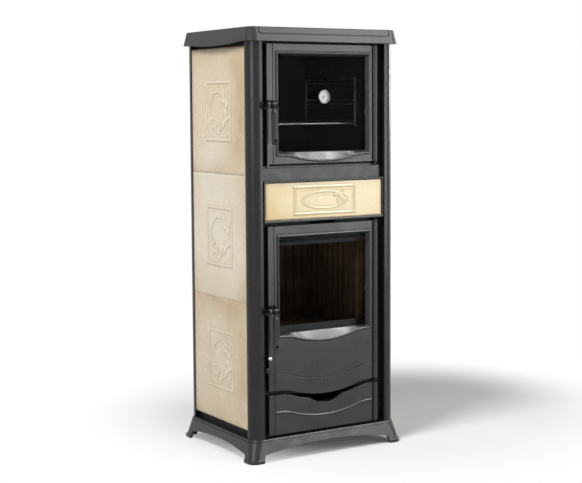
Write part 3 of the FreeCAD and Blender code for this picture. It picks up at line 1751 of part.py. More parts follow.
def all_pieces():
    """Every piece of the stove by name."""
    post = corner_post()
    pieces = {
        "base_casting": base_casting(),
        "top_plate": top_plate(),
        "post_rear_right": post,
        "post_rear_left": mirror_x(post),
        "post_front_right": mirror_y(post),
        "post_front_left": mirror_x(mirror_y(post)),
        "side_panel_left": side_panel(),
        "side_panel_right": mirror_x(side_panel()),
        "rear_panel": rear_panel(),
        "flue_collar": flue_collar(),
        "front_frame": front_frame(),
        "hinge_pins": hinge_pins(),
        "latch_keepers": latch_keepers(),
        "band_panel": band_panel(),
        "front_tile_frame": front_tile_frame(),
        "front_tile": front_tile(),
        "firebox_shell": firebox_shell(),
        "hearth_plate": hearth_plate(),
        "fire_grate": fire_grate(),
        "liner_back": liner_back(),
        "liner_left": liner_left(),
        "liner_right": liner_right(),
        "baffle_plate": baffle_plate(),
        "air_deflector": air_deflector(),
        "log_guard": log_guard(),
        "ash_pan": ash_pan(),
        "oven_jacket": oven_jacket(),
        "oven_box": oven_box(),
        "oven_racks": oven_racks(),
        "oven_shelf": oven_shelf(),
        "drawer_runners": drawer_runners(),
        "drawer_front": drawer_front(),
        "drawer_box": drawer_box(),
        "oven_door_casting": oven_door_casting(),
        "oven_door_glass": oven_door_glass(),
        "oven_glass_retainer": glass_retainer(oven_door),
        "oven_door_gasket": door_gasket(oven_door),
        "oven_handle_bracket": handle_bracket(oven_door),
        "oven_handle": handle_lever(oven_door),
        "thermometer_case": thermometer_case(),
        "thermometer_dial": thermometer_dial(),
        "thermometer_lens": thermometer_lens(),
        "thermometer_needle": thermometer_needle(),
        "fire_door_casting": fire_door_casting(),
        "fire_door_glass": fire_door_glass(),
        "fire_glass_retainer": glass_retainer(fire_door),
        "fire_door_gasket": door_gasket(fire_door),
        "fire_handle_bracket": handle_bracket(fire_door),
        "fire_handle": handle_lever(fire_door),
        "primary_air_rod": primary_air_rod(),
        "primary_air_knob": primary_air_knob(),
        "secondary_air_rod": secondary_air_rod(),
        "secondary_air_knob": secondary_air_knob(),
    }
    for row, place in enumerate(("lower", "middle", "upper")):
        tile = side_tile(row)
        pieces["side_tile_left_" + place] = tile
        pieces["side_tile_right_" + place] = mirror_x(tile)
    return pieces


os.makedirs("parts", exist_ok=True)
for name, shape in all_pieces().items():
    shape.exportStep("parts/" + name + ".step")
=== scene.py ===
import math
from collections import namedtuple

import bpy
import numpy as np
from mathutils import Matrix, Vector


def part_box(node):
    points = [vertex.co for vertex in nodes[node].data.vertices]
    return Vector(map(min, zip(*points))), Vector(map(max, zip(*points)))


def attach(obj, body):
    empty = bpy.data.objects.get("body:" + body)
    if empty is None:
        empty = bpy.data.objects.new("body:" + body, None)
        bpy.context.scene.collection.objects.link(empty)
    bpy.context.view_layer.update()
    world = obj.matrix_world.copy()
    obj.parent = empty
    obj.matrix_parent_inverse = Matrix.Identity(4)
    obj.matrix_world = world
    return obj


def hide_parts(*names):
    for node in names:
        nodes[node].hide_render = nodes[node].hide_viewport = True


# Looks of the wood-burning stove, in the part's own frame: +Z up, front to -Y.
# The camera, the stage and the lamps are in metres, fine sizes on the stove in millimetres.

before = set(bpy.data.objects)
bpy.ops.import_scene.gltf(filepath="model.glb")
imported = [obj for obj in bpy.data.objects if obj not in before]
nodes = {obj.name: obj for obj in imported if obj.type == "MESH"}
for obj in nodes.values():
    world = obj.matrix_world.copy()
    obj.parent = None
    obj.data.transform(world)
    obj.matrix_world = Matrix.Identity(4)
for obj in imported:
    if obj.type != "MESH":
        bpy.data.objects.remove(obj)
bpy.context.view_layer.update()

MM = 0.001
tiny = 1e-6

# Camera: where the photographer stood, the angles in degrees, and the lens in millimetres
camera_place = (-2.2821, -3.7392, 1.1116)
camera_yaw = 31.426
camera_pitch = 5.08
camera_roll = -0.373
camera_lens = 82.11
camera_sensor = 36.0
camera_shift_y = -0.03

# Stage: metres, and strengths at which a colour renders about as written
floor_size = 14.0
shadow_middle = (0.45, 0.20, 0.0)
shadow_reach = (0.50, 1.05)
floor_glow = 0.05
world_strength = 0.2
world_tint = (0.97, 0.98, 1.0, 1)
white = (1, 1, 1, 1)

# Colours, linear. A pair holds those of the darker and the lighter patches.
anthracite = ((0.010, 0.010, 0.0103), (0.016, 0.0158, 0.0156))
top_grey = ((0.036, 0.035, 0.033), (0.050, 0.049, 0.046))
iron_grey = ((0.013, 0.013, 0.0135), (0.020, 0.0198, 0.0197))
black = ((0.006, 0.006, 0.006), (0.011, 0.011, 0.011))
oven_black = ((0.004, 0.004, 0.004), (0.008, 0.008, 0.0078))
fire_brown = ((0.085, 0.050, 0.030), (0.21, 0.125, 0.070))
scorched_grey = ((0.075, 0.075, 0.074), (0.115, 0.113, 0.110))
steel = ((0.30, 0.30, 0.30), (0.48, 0.48, 0.47))
dark_steel = ((0.07, 0.07, 0.07), (0.15, 0.15, 0.145))
bright_steel = ((0.34, 0.34, 0.345), (0.48, 0.48, 0.485))
case_steel = ((0.16, 0.16, 0.165), (0.24, 0.24, 0.245))
grip_grey = ((0.022, 0.022, 0.0225), (0.036, 0.036, 0.036))
dial_white = ((0.80, 0.80, 0.78), (0.88, 0.88, 0.86))
ink_black = ((0.012, 0.012, 0.012), (0.030, 0.030, 0.030))
floor_pale = ((0.92, 0.92, 0.92), (0.96, 0.96, 0.96))
oven_tint = ((0.80, 0.82, 0.82), (0.86, 0.87, 0.87))
fire_tint = ((0.74, 0.75, 0.75), (0.84, 0.85, 0.84))
lens_tint = ((0.93, 0.93, 0.93), (0.97, 0.97, 0.97))
pane_sheen = (0.9, 0.9, 0.9, 1)
rope_crown = (0.070, 0.068, 0.064)
rope_gap = (0.020, 0.020, 0.020)
ochre = (0.30, 0.18, 0.065)

# The deep colour darkens the edges, as deeper glaze and painted shade, and the pools; the pale ridge colour
# is thin glaze and a painted highlight.
Glaze = namedtuple("Glaze", "pale body deep thin")
cream = Glaze(
    pale=(0.81, 0.74, 0.605),
    body=(0.71, 0.60, 0.43),
    deep=(0.42, 0.275, 0.115),
    thin=(0.90, 0.83, 0.68),
)
butter = Glaze(
    pale=(0.87, 0.77, 0.52),
    body=(0.80, 0.67, 0.40),
    deep=(0.64, 0.46, 0.19),
    thin=(0.89, 0.80, 0.56),
)

# Surfaces: the usual span of a noise, how far roughness strays from its middle, the panes' reflection
noise_start = 0.3
noise_end = 0.7
paint_stray = (0.05, 0.06)
metal_stray = (0.04, 0.05)
bevel_samples = 4
pane_index = 1.05

# Heights where a piece changes its colour or its dullness, metres
oven_handle_split = 1.107
fire_handle_split = 0.469
# The air deflector is black above its lip: painted shade on its flange; the lip below is grey.
deflector_lip = 12 * MM
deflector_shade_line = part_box("air_deflector")[0].z + deflector_lip
top_rounding = 2 * MM
top_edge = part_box("top_plate")[1].z - top_rounding

# Moulded tiles: millimetres, and degrees round the oval
Spray = namedtuple("Spray", "reach_share start end leaves leaf_length")
Moulding = namedtuple("Moulding", "panel oval ridge_width sprays")
side_moulding = Moulding(
    panel=(175.0, 200.0),
    oval=(124.0, 140.0),
    ridge_width=17.0,
    sprays=[
        Spray(reach_share=0.92, start=-58, end=56, leaves=6, leaf_length=36.0),
        Spray(reach_share=0.86, start=-170, end=-92, leaves=4, leaf_length=28.0),
    ],
)
front_moulding = Moulding(
    panel=(234.0, 94.0),
    oval=(178.0, 63.0),
    ridge_width=10.0,
    sprays=[Spray(reach_share=0.80, start=-48, end=52, leaves=5, leaf_length=24.0)],
)
tile_edge = 1.0
relief_stand = 2.0
relief_grid = 1.8
relief_coarse = 9.0
relief_margin = 6.0
ridge_height = 2.0
oval_width_share = 0.75
oval_height_share = 0.85
inner_ridge_width = 4.0
inner_ridge_height = 0.7
inner_ridge_gap = 8.0
stem_width = 9.0
stem_height = 1.8
stem_taper = 6
leaf_height = 2.0
leaf_width_share = 0.42
leaf_belly = 0.8
leaf_headings = (148, 62)
rib_depth_share = 0.35
rib_width_share = 0.1

# Glaze on the tiles: its amounts are shares, its fades are millimetres from an edge. The edge, end and
# corner amounts darken the tile partly as deeper glaze and partly as painted shade; crest_most makes ridges
# paler, partly as thin glaze and partly as a painted highlight.
pool_strength = 1.3
pool_most = 0.8
crest_most = 0.8
lead_fade = 70.0
other_edge = 0.45
other_fade = 28.0
end_edge = 0.55
end_fade = 55.0
corner_edge = 1.0
corner_fade = 110.0
# How much each tile darkens towards an edge, its ends and a corner: deeper glaze and painted shade. The
# front tile's negative amount turns its darkening to its left edge.
side_edge_shades = {"lower": 1.5, "middle": 0.5, "upper": 1.4}
front_edge_shade = -0.7

# Rear screws, millimetres; the dome's rings as shares of its radius and height
screw_radius = 4.0
screw_height = 1.8
screw_inset = 9.0
screw_rows = 7
screw_sides = 20
dome_shares = ((1.0, 0.0), (1.0, 0.45), (0.75, 0.8), (0.35, 1.0))

# Dial marks: millimetres, and degrees of their sweep
mark_count = 28
mark_long_every = 3
mark_outer_radius = 17.5
mark_short = 1.8
mark_long = 3.2
mark_width = 0.5
mark_sweep = 270.0
mark_lift = 0.06


# Materials

class Look:
    """A new material with a principled surface, and short ways to add nodes to it."""

    def __init__(self, name):
        self.material = bpy.data.materials.new(name)
        self.material.use_nodes = True
        self.tree = self.material.node_tree
        self.surface = self.tree.nodes["Principled BSDF"]
        self.place = self.add("TexCoord").outputs["Object"]

    def add(self, kind, **values):
        """A new node, with values on its sockets."""
        node = self.tree.nodes.new("ShaderNode" + kind)
        for key, value in values.items():
            node.inputs[key.replace("_", " ")].default_value = value
        return node

    def link(self, output, target):
        self.tree.links.new(output, target)

    def set(self, **values):
        """Values on the surface's sockets."""
        for key, value in values.items():
            self.surface.inputs[key.replace("_", " ")].default_value = value

    def feed(self, **outputs):
        """Outputs of other nodes into the surface's sockets."""
        for key, output in outputs.items():
            self.link(output, self.surface.inputs[key.replace("_", " ")])

    def show(self, output):
        """A shader as the material's outcome."""
        self.link(output, self.tree.nodes["Material Output"].inputs["Surface"])

    def field(self, name):
        """A value that the mesh holds at its points."""
        node = self.add("Attribute")
        node.attribute_name = name
        return node.outputs["Fac"]

    def noise(self, scale, detail=3.0):
        node = self.add("TexNoise", Scale=scale, Detail=detail)
        self.link(self.place, node.inputs["Vector"])
        return node.outputs["Fac"]

    def fade(self, value, colours, start=noise_start, end=noise_end):
        """From the first colour, up to the start, to the second, from the end on."""
        node = self.add("ValToRGB")
        for element, position, colour in zip(node.color_ramp.elements, (start, end), colours):
            element.position = position
            element.color = (*colour, 1)
        self.link(value, node.inputs["Fac"])
        return node.outputs["Color"]

    def span(self, value, low, high):
        """A noise spread out from low to high."""
        node = self.add("MapRange", From_Min=noise_start, From_Max=noise_end, To_Min=low, To_Max=high)
        self.link(value, node.inputs["Value"])
        return node.outputs["Result"]

    def step(self, height, blend, above, below):
        """One value above a height and another below it."""
        parts = self.add("SeparateXYZ")
        self.link(self.place, parts.inputs["Vector"])
        low, high = height - blend, height + blend
        node = self.add("MapRange", From_Min=low, From_Max=high, To_Min=below, To_Max=above)
        self.link(parts.outputs["Z"], node.inputs["Value"])
        return node.outputs["Result"]

    def mix(self, factor, first, second):
        node = self.add("Mix")
        node.data_type = "RGBA"
        self.link(factor, node.inputs["Factor"])
        self.link(first, node.inputs["A"])
        self.link(second, node.inputs["B"])
        return node.outputs["Result"]

    def mix_shaders(self, factor, first, second):
        node = self.add("MixShader")
        self.link(factor, node.inputs["Fac"])
        self.link(first, node.inputs[1])
        self.link(second, node.inputs[2])
        return node.outputs["Shader"]

    def times(self, first, second):
        node = self.add("Math")
        node.operation = "MULTIPLY"
        node.use_clamp = True
        self.link(first, node.inputs[0])
        self.link(second, node.inputs[1])
        return node.outputs["Value"]

    def soft_edges(self, radius):
        node = self.add("Bevel", Radius=radius)
        node.samples = bevel_samples
        return node.outputs["Normal"]

    def bump(self, height, depth, normal=None):
        node = self.add("Bump", Distance=depth)
        self.link(height, node.inputs["Height"])
        if normal is not None:
            self.link(normal, node.inputs["Normal"])
        return node.outputs["Normal"]


def painted(name, colours, rough, grain_depth, grain=700.0, edge=0.9, metallic=0.0, shine=0.5,
            cap_rough=None):
    """Paint or bare metal: a little cloudy, with a fine grain and softened edges, both in millimetres.

    With cap_rough the flat of the top plate has that roughness, and rough is the apron's.
    """
    look = Look(name)
    if cap_rough is None:
        patches = look.noise(scale=26.0)
        roughness = look.span(patches, low=rough - paint_stray[0], high=rough + paint_stray[1])
    else:
        roughness = look.step(top_edge, blend=1.0 * MM, above=cap_rough, below=rough)
    grains = look.noise(scale=grain, detail=2.0)
    look.set(Metallic=metallic, Specular_IOR_Level=shine)
    look.feed(
        Base_Color=look.fade(look.noise(scale=9.0, detail=4.0), colours),
        Roughness=roughness,
        Normal=look.bump(grains, grain_depth * MM, look.soft_edges(edge * MM)),
    )
    return look.material


def two_tone(name, split, upper, lower, rough):
    """Metal of one colour above a height and of another below it."""
    look = Look(name)
    cloud = look.noise(scale=20.0, detail=4.0)
    below = look.step(split, blend=3.0 * MM, above=0.0, below=1.0)
    patches = look.noise(scale=26.0)
    grains = look.noise(scale=600.0, detail=2.0)
    look.set(Specular_IOR_Level=0.2)
    look.feed(
        Base_Color=look.mix(below, look.fade(cloud, upper), look.fade(cloud, lower)),
        Roughness=look.span(patches, low=rough - metal_stray[0], high=rough + metal_stray[1]),
        Normal=look.bump(grains, depth=0.02 * MM, normal=look.soft_edges(radius=1.0 * MM)),
    )
    return look.material


def glazed(name, glaze):
    """Glaze: cloudy, glossy, ochre where it pools; darker towards the tile's edges as deeper glaze and
    painted shade, paler on ridges as thin glaze and a painted highlight.
    """
    look = Look(name)
    cloud = look.fade(look.noise(scale=2.4, detail=2.0), (glaze.body, glaze.pale), start=0.34, end=0.62)
    shade = look.fade(look.noise(scale=6.0, detail=2.0), (glaze.deep, glaze.body), start=0.35, end=0.95)
    thin = look.fade(look.noise(scale=6.0, detail=2.0), (glaze.pale, glaze.thin), start=0.3, end=0.5)
    dark = look.fade(look.noise(scale=60.0), (ochre, glaze.deep), start=0.3, end=0.8)
    patch = look.span(look.noise(scale=2.8, detail=1.0), low=0.45, high=1.0)
    # Painted shade, with deeper glaze, towards the edges that the edge field marks.
    colour = look.mix(look.times(look.field("edge"), patch), cloud, shade)
    # Painted highlight, with thinner glaze, on the ridges that the crest field marks.
    colour = look.mix(look.field("crest"), colour, thin)
    colour = look.mix(look.field("pool"), colour, dark)
    look.set(Coat_Weight=0.05, Coat_Roughness=0.12, Specular_IOR_Level=0.3)
    look.feed(
        Base_Color=colour,
        Roughness=look.span(look.noise(scale=40.0), low=0.20, high=0.30),
        Normal=look.bump(look.noise(scale=18.0, detail=1.0), depth=0.12 * MM),
    )
    return look.material


def pane(name, tints):
    """Heat-proof glass: seen straight through, with a mirror sheen that grows towards the rim."""
    look = Look(name)
    clear = look.add("BsdfTransparent")
    look.link(look.fade(look.noise(scale=4.0), tints), clear.inputs["Color"])
    sheen = look.add("BsdfGlossy", Color=pane_sheen)
    look.link(look.span(look.noise(scale=12.0), low=0.01, high=0.05), sheen.inputs["Roughness"])
    fresnel = look.add("Fresnel", IOR=pane_index)
    look.show(look.mix_shaders(fresnel.outputs["Fac"], clear.outputs["BSDF"], sheen.outputs["BSDF"]))
    look.tree.nodes.remove(look.surface)
    return look.material


def roped(name):
    """Braided seal: cells that show as a fine weave."""
    look = Look(name)
    weave = look.add("TexVoronoi", Scale=420.0)
    look.link(look.place, weave.inputs["Vector"])
    cells = weave.outputs["Distance"]
    look.set(Roughness=0.85)
    look.feed(
        Base_Color=look.fade(cells, (rope_crown, rope_gap), start=0.1, end=0.7),
        Normal=look.bump(cells, depth=0.6 * MM),
    )
    return look.material


looks = {
    "enamel": painted("anthracite_enamel", anthracite, rough=0.26, grain_depth=0.03, edge=1.2, shine=0.30),
    "base": painted("base_enamel", iron_grey, rough=0.30, grain_depth=0.10, edge=1.0, shine=0.4),
    "top": painted("top_enamel", top_grey, rough=0.34, grain_depth=0.08, edge=1.2, shine=0.12,
                   cap_rough=0.80),
    "iron": painted("grey_cast_iron", iron_grey, rough=0.30, grain_depth=0.14, edge=1.6, shine=0.42),
    "black": painted("black_steel", black, rough=0.60, grain_depth=0.06, shine=0.2),
    "oven": painted("oven_enamel", oven_black, rough=0.45, grain_depth=0.03, shine=0.15),
    "fire": painted("fire_iron", fire_brown, rough=0.75, grain_depth=0.25, grain=260.0, edge=1.5, shine=0.2),
    # Black above the lip as painted shade, grey lip below.
    "deflector": two_tone("deflector_iron", deflector_shade_line, black, scorched_grey, rough=0.55),
    "grey": painted("scorched_iron", scorched_grey, rough=0.60, grain_depth=0.15, grain=320.0, shine=0.3),
    "oven_handle": two_tone("oven_handle_metal", oven_handle_split, black, grip_grey, rough=0.36),
    "fire_handle": two_tone("fire_handle_metal", fire_handle_split, black, grip_grey, rough=0.36),
    "bracket": painted("bracket_black", black, rough=0.50, grain_depth=0.03, shine=0.12),
    "dark_wire": painted("oven_wire", dark_steel, rough=0.30, grain_depth=0.01, metallic=1.0, edge=0.3),
    "wire": painted("bright_wire", steel, rough=0.24, grain_depth=0.01, metallic=1.0, edge=0.3),
    "ball": painted("bright_steel", bright_steel, rough=0.14, grain_depth=0.002, metallic=1.0, edge=0.4),
    "case": painted("case_steel", case_steel, rough=0.22, grain_depth=0.004, metallic=1.0, edge=0.4),
    "knob": painted("black_knob", black, rough=0.18, grain_depth=0.01, edge=0.5, shine=0.3),
    "dial": painted("dial_plate", dial_white, rough=0.45, grain_depth=0.01, edge=0.2),
    "ink": painted("dial_ink", ink_black, rough=0.40, grain_depth=0.005, edge=0.1),
    "glaze": glazed("cream_glaze", cream),
    "butter_glaze": glazed("butter_glaze", butter),
    "oven_glass": pane("oven_glass", oven_tint),
    "fire_glass": pane("fire_glass", fire_tint),
    "lens": pane("dial_lens", lens_tint),
    "rope": roped("rope_seal"),
}

node_looks = {
    "base": ["base_casting"],
    "top": ["top_plate"],
    "enamel": [
        "post_front_left", "post_front_right", "post_rear_left", "post_rear_right",
        "band_panel", "front_tile_frame",
    ],
    "iron": ["oven_door_casting", "fire_door_casting", "drawer_front"],
    "black": [
        "front_frame", "side_panel_left", "side_panel_right", "rear_panel", "oven_jacket", "firebox_shell",
        "flue_collar", "drawer_box", "drawer_runners", "ash_pan",
    ],
    "bracket": ["oven_handle_bracket", "fire_handle_bracket", "latch_keepers", "hinge_pins"],
    "oven": ["oven_box"],
    "wire": ["oven_glass_retainer", "fire_glass_retainer", "primary_air_rod", "secondary_air_rod"],
    "fire": ["hearth_plate", "fire_grate", "liner_back", "liner_left", "liner_right", "baffle_plate"],
    "grey": ["log_guard"],
    "deflector": ["air_deflector"],
    "oven_handle": ["oven_handle"],
    "fire_handle": ["fire_handle"],
    "dark_wire": ["oven_racks", "oven_shelf"],
    "ball": ["primary_air_knob"],
    "case": ["thermometer_case"],
    "knob": ["secondary_air_knob"],
    "dial": ["thermometer_dial"],
    "ink": ["thermometer_needle"],
    "oven_glass": ["oven_door_glass"],
    "fire_glass": ["fire_door_glass"],
    "lens": ["thermometer_lens"],
    "rope": ["oven_door_gasket", "fire_door_gasket"],
}


def dress(thing, look):
    thing.data.materials.clear()
    thing.data.materials.append(looks[look])


for look_name, node_names in node_looks.items():
    for node_name in node_names:
        dress(nodes[node_name], look_name)


def new_mesh(name, points, faces, look, body):
    """A new piece of the object that rides on a body."""
    mesh = bpy.data.meshes.new(name)
    mesh.from_pydata([tuple(p) for p in points], [], faces)
    mesh.update()
    thing = bpy.data.objects.new(name, mesh)
    bpy.context.scene.collection.objects.link(thing)
    dress(thing, look)
    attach(thing, body)
    return thing


# Tiles: the moulded relief as a height over the tile's face, s across and t up, in millimetres

def ridge(distance, width, height):
    """A rounded ridge along the line where distance is nought."""
    share = np.clip(np.abs(distance) / (width / 2), 0, 1)
    return height * np.cos(share * math.pi / 2) ** 2


def leaf(s, t, foot, angle, length):
    """One pointed leaf with a sunk midrib, from its foot in the direction of angle."""
    turn = math.radians(angle)
    width = leaf_width_share * length
    along = (s - foot[0]) * math.cos(turn) + (t - foot[1]) * math.sin(turn)
    across = (t - foot[1]) * math.cos(turn) - (s - foot[0]) * math.sin(turn)
    share = np.clip(along / length, 0, 1)
    half = width / 2 * np.sin(math.pi * share ** leaf_belly) + tiny
    body = np.clip(1 - (across / half) ** 2, 0, 1) * ((along > 0) & (along < length))
    rib = rib_depth_share * np.exp(-(across / (rib_width_share * width)) ** 2)
    return leaf_height * np.sqrt(body) * (1 - rib * body)


def ellipse_distance(s, t, half_s, half_t):
    """About how far a point lies outside an ellipse, below nought inside it."""
    reach = np.hypot(s / half_s, t / half_t) + tiny
    slope = np.hypot(s / half_s ** 2, t / half_t ** 2) / reach
    return (reach - 1) / np.maximum(slope, 1 / max(half_s, half_t))


def branch(s, t, oval, spray):
    """A stem that follows the oval on its inside, with leaves to either side of it."""
    half_s, half_t = (spray.reach_share * size / 2 for size in oval)
    angle = np.degrees(np.arctan2(t / half_t, s / half_s))
    inside = np.clip(np.minimum(angle - spray.start, spray.end - angle) / stem_taper, 0, 1)
    height = ridge(ellipse_distance(s, t, half_s, half_t), stem_width, stem_height) * inside
    for number in range(spray.leaves):
        turn = spray.start + (number + 0.5) * (spray.end - spray.start) / spray.leaves
        foot = (half_s * math.cos(math.radians(turn)), half_t * math.sin(math.radians(turn)))
        heading = turn + leaf_headings[number % 2]
        height = np.maximum(height, leaf(s, t, foot, heading, spray.leaf_length))
    return height


def relief(s, t, moulding):
    """Height of the moulding: panel frame, oval, and sprays of leaves."""
    panel, oval, width = moulding.panel, moulding.oval, moulding.ridge_width
    frame_line = np.maximum(np.abs(s) - panel[0] / 2, np.abs(t) - panel[1] / 2)
    oval_line = ellipse_distance(s, t, oval[0] / 2, oval[1] / 2)
    inner_offset = width + inner_ridge_gap / 2
    parts = [
        ridge(frame_line + width / 2, width, ridge_height),
        ridge(frame_line + inner_offset, inner_ridge_width, inner_ridge_height),
        ridge(oval_line + width / 2, oval_width_share * width, oval_height_share * ridge_height),
        ridge(oval_line + inner_offset, inner_ridge_width, inner_ridge_height),
    ]
    parts += [branch(s, t, oval, spray) for spray in moulding.sprays]
    return np.maximum.reduce(parts)


def steps(half, fine):
    """Grid lines across a tile: close together over the moulding, wide apart elsewhere."""
    fine_half = fine / 2 + relief_margin
    inner = np.linspace(-fine_half, fine_half, int(2 * fine_half / relief_grid) + 1)
    count = max(2, int((half - tile_edge - fine_half) / relief_coarse) + 1)
    outer = np.linspace(fine_half, half - tile_edge, count)[1:]
    side = np.append(outer, half)
    return np.concatenate([-side[::-1], inner, side])


def spread_out(height):
    """The relief a little blurred, as glaze covers it."""
    padded = np.pad(height, 1, mode="edge")
    rows = (padded[:-2] + 2 * padded[1:-1] + padded[2:]) / 4
    return (rows[:, :-2] + 2 * rows[:, 1:-1] + rows[:, 2:]) / 4


def edge_shade(s, t, half, depth):
    """How dark the tile turns here, as deeper glaze and painted shade: as much as depth's amount, and most
    at the edge that its sign points to.
    """
    lead = math.copysign(1.0, depth) * s
    shade = np.exp((lead - half[0]) / lead_fade) + other_edge * np.exp(-(lead + half[0]) / other_fade)
    shade += end_edge * np.exp((np.abs(t) - half[1]) / end_fade)
    shade += corner_edge * np.exp((lead - half[0] + np.abs(t) - half[1]) / corner_fade)
    return np.clip(abs(depth) * shade, 0, 1)


def glaze_fields(s, t, half, height, depth):
    """Where the glaze pools, where ridges are paler as thin glaze and a painted highlight, and where edges
    are darker as deeper glaze and painted shade, under the names that its material reads.
    """
    covered = spread_out(height)
    rise_t, rise_s = np.gradient(covered, t[:, 0], s[0])
    return {
        "pool": np.clip(np.hypot(rise_s, rise_t) * pool_strength, 0, pool_most),
        # The ridges' paler tone: thin glaze and a painted highlight.
        "crest": np.clip(covered / ridge_height, 0, 1) * crest_most,
        # The edges' darker tone: deeper glaze and painted shade.
        "edge": edge_shade(s, t, half, depth),
    }


def grid_faces(rows, columns):
    starts = [row * columns + column for row in range(rows - 1) for column in range(columns - 1)]
    return [(low, low + 1, low + columns + 1, low + columns) for low in starts]


def grid_rim(rows, columns):
    """The points round the border of a grid, in turn."""
    rim = list(range(columns))
    rim += [row * columns + columns - 1 for row in range(1, rows)]
    rim += [(rows - 1) * columns + column for column in range(columns - 2, -1, -1)]
    rim += [row * columns for row in range(rows - 2, 0, -1)]
    return rim


def moulded_tile(name, look, half, moulding, depth, to_stove):
    """A tile with its relief and a flat back, darkened towards its edges by depth as deeper glaze and
    painted shade.

    to_stove takes a point (across, up, out of the face) in millimetres to the stove. Where out is
    None, the point is on the tile's back.
    """
    s, t = np.meshgrid(steps(half[0], moulding.panel[0]), steps(half[1], moulding.panel[1]))
    height = relief(s, t, moulding)
    fall = np.maximum(np.abs(s) - half[0], np.abs(t) - half[1]) + tile_edge
    face = height - np.clip(fall, 0, tile_edge)
    flat_s, flat_t = s.ravel(), t.ravel()
    points = [to_stove(*place) for place in zip(flat_s, flat_t, face.ravel())]
    faces = grid_faces(*s.shape)
    moulded_count = len(faces)
    rim = grid_rim(*s.shape)
    back = len(points)
    points += [to_stove(flat_s[i], flat_t[i], None) for i in rim]
    for here in range(len(rim)):
        after = (here + 1) % len(rim)
        faces.append((rim[after], rim[here], back + here, back + after))
    faces.append(tuple(back + i for i in reversed(range(len(rim)))))
    tile = new_mesh(name, points, faces, look, "stove_body")
    none_behind = np.zeros(len(rim))
    for title, values in glaze_fields(s, t, half, height, depth).items():
        field = tile.data.attributes.new(title, "FLOAT", "POINT")
        field.data.foreach_set("value", np.concatenate([values.ravel(), none_behind]).astype(np.float32))
    tile.data.polygons.foreach_set("use_smooth", np.arange(len(faces)) < moulded_count)
    return tile


def make_side_tile(node, sign, depth):
    """One side tile; sign is -1 on the stove's left and 1 on its right, and depth says how much it darkens
    towards its edges as deeper glaze and painted shade.
    """
    low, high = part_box(node)
    face_x = (abs(low.x) if sign < 0 else high.x) - relief_stand * MM
    back_x = high.x if sign < 0 else low.x
    middle_z = (low.z + high.z) / 2

    def to_stove(across, up, out):
        x = back_x if out is None else sign * (face_x + out * MM)
        return (x, sign * across * MM, middle_z + up * MM)

    half = (high.y / MM, (high.z - low.z) / 2 / MM)
    tile = moulded_tile(node + "_glazed", "glaze", half, side_moulding, depth, to_stove)
    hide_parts(node)


def make_front_tile():
    low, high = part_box("front_tile")
    middle_z = (low.z + high.z) / 2

    def to_stove(across, up, out):
        y = high.y if out is None else low.y + relief_stand * MM - out * MM
        return (across * MM, y, middle_z + up * MM)

    half = (high.x / MM, (high.z - low.z) / 2 / MM)
    tile = moulded_tile("front_tile_glazed", "butter_glaze", half, front_moulding, front_edge_shade, to_stove)
    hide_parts("front_tile")


for side_name, side_sign in (("left", -1), ("right", 1)):
    for level_name, level_edge_shade in side_edge_shades.items():
        make_side_tile("side_tile_" + side_name + "_" + level_name, side_sign, level_edge_shade)
make_front_tile()


# Rear screws

def dome(centre, out, radius, height, sides):
    """A low domed screw head with its foot on a face; out is the way it stands."""
    out = Vector(out).normalized()
    first = out.orthogonal().normalized()
    second = out.cross(first)
    points = []
    for radius_share, height_share in dome_shares:
        for number in range(sides):
            turn = 2 * math.pi * number / sides
            spoke = first * math.cos(turn) + second * math.sin(turn)
            points.append(centre + out * (height_share * height) + spoke * (radius_share * radius))
    faces = []
    last = (len(dome_shares) - 1) * sides
    for low in range(0, last, sides):
        for number in range(sides):
            after = (number + 1) % sides
            faces.append((low + number, low + after, low + sides + after, low + sides + number))
    faces.append(tuple(last + number for number in range(sides)))
    return points, faces


def make_rear_screws():
    low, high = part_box("rear_panel")
    inset = screw_inset * MM
    points, faces = [], []
    for x in (low.x + inset, high.x - inset):
        for row in range(screw_rows):
            share = row / (screw_rows - 1)
            z = low.z + inset + share * (high.z - low.z - 2 * inset)
            start = len(points)
            centre = Vector((x, high.y, z))
            head, head_faces = dome(centre, (0, 1, 0), screw_radius * MM, screw_height * MM, screw_sides)
            points += head
            faces += [tuple(start + i for i in face) for face in head_faces]
    screws = new_mesh("rear_screws", points, faces, "wire", "stove_body")


make_rear_screws()


# Dial

def make_dial_marks():
    """Fine strokes round the dial, some of them longer."""
    low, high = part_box("thermometer_dial")
    middle = (low + high) / 2
    centre = Vector((middle.x, low.y - mark_lift * MM, middle.z))
    points, faces = [], []
    for number in range(mark_count):
        turn = math.radians(-mark_sweep / 2 + mark_sweep * number / (mark_count - 1))
        out = Vector((math.sin(turn), 0, math.cos(turn)))
        side = Vector((math.cos(turn), 0, -math.sin(turn))) * (mark_width * MM / 2)
        length = mark_long if number % mark_long_every == 0 else mark_short
        outer, inner = mark_outer_radius, mark_outer_radius - length
        start = len(points)
        for radius, sign in ((outer, -1), (outer, 1), (inner, 1), (inner, -1)):
            points.append(centre + out * radius * MM + side * sign)
        faces.append((start, start + 1, start + 2, start + 3))
    marks = new_mesh("dial_marks", points, faces, "ink", "oven_door")


make_dial_marks()


# Stage, light and camera

def white_rays(tree):
    """One for what the camera sees straight, in a mirror or through glass, and nought for light."""
    paths = tree.nodes.new("ShaderNodeLightPath")
    total = paths.outputs["Is Camera Ray"]
    for output in ("Is Glossy Ray", "Is Transmission Ray"):
        plus = tree.nodes.new("ShaderNodeMath")
        plus.operation = "ADD"
        plus.use_clamp = True
        tree.links.new(total, plus.inputs[0])
        tree.links.new(paths.outputs[output], plus.inputs[1])
        total = plus.outputs["Value"]
    return total


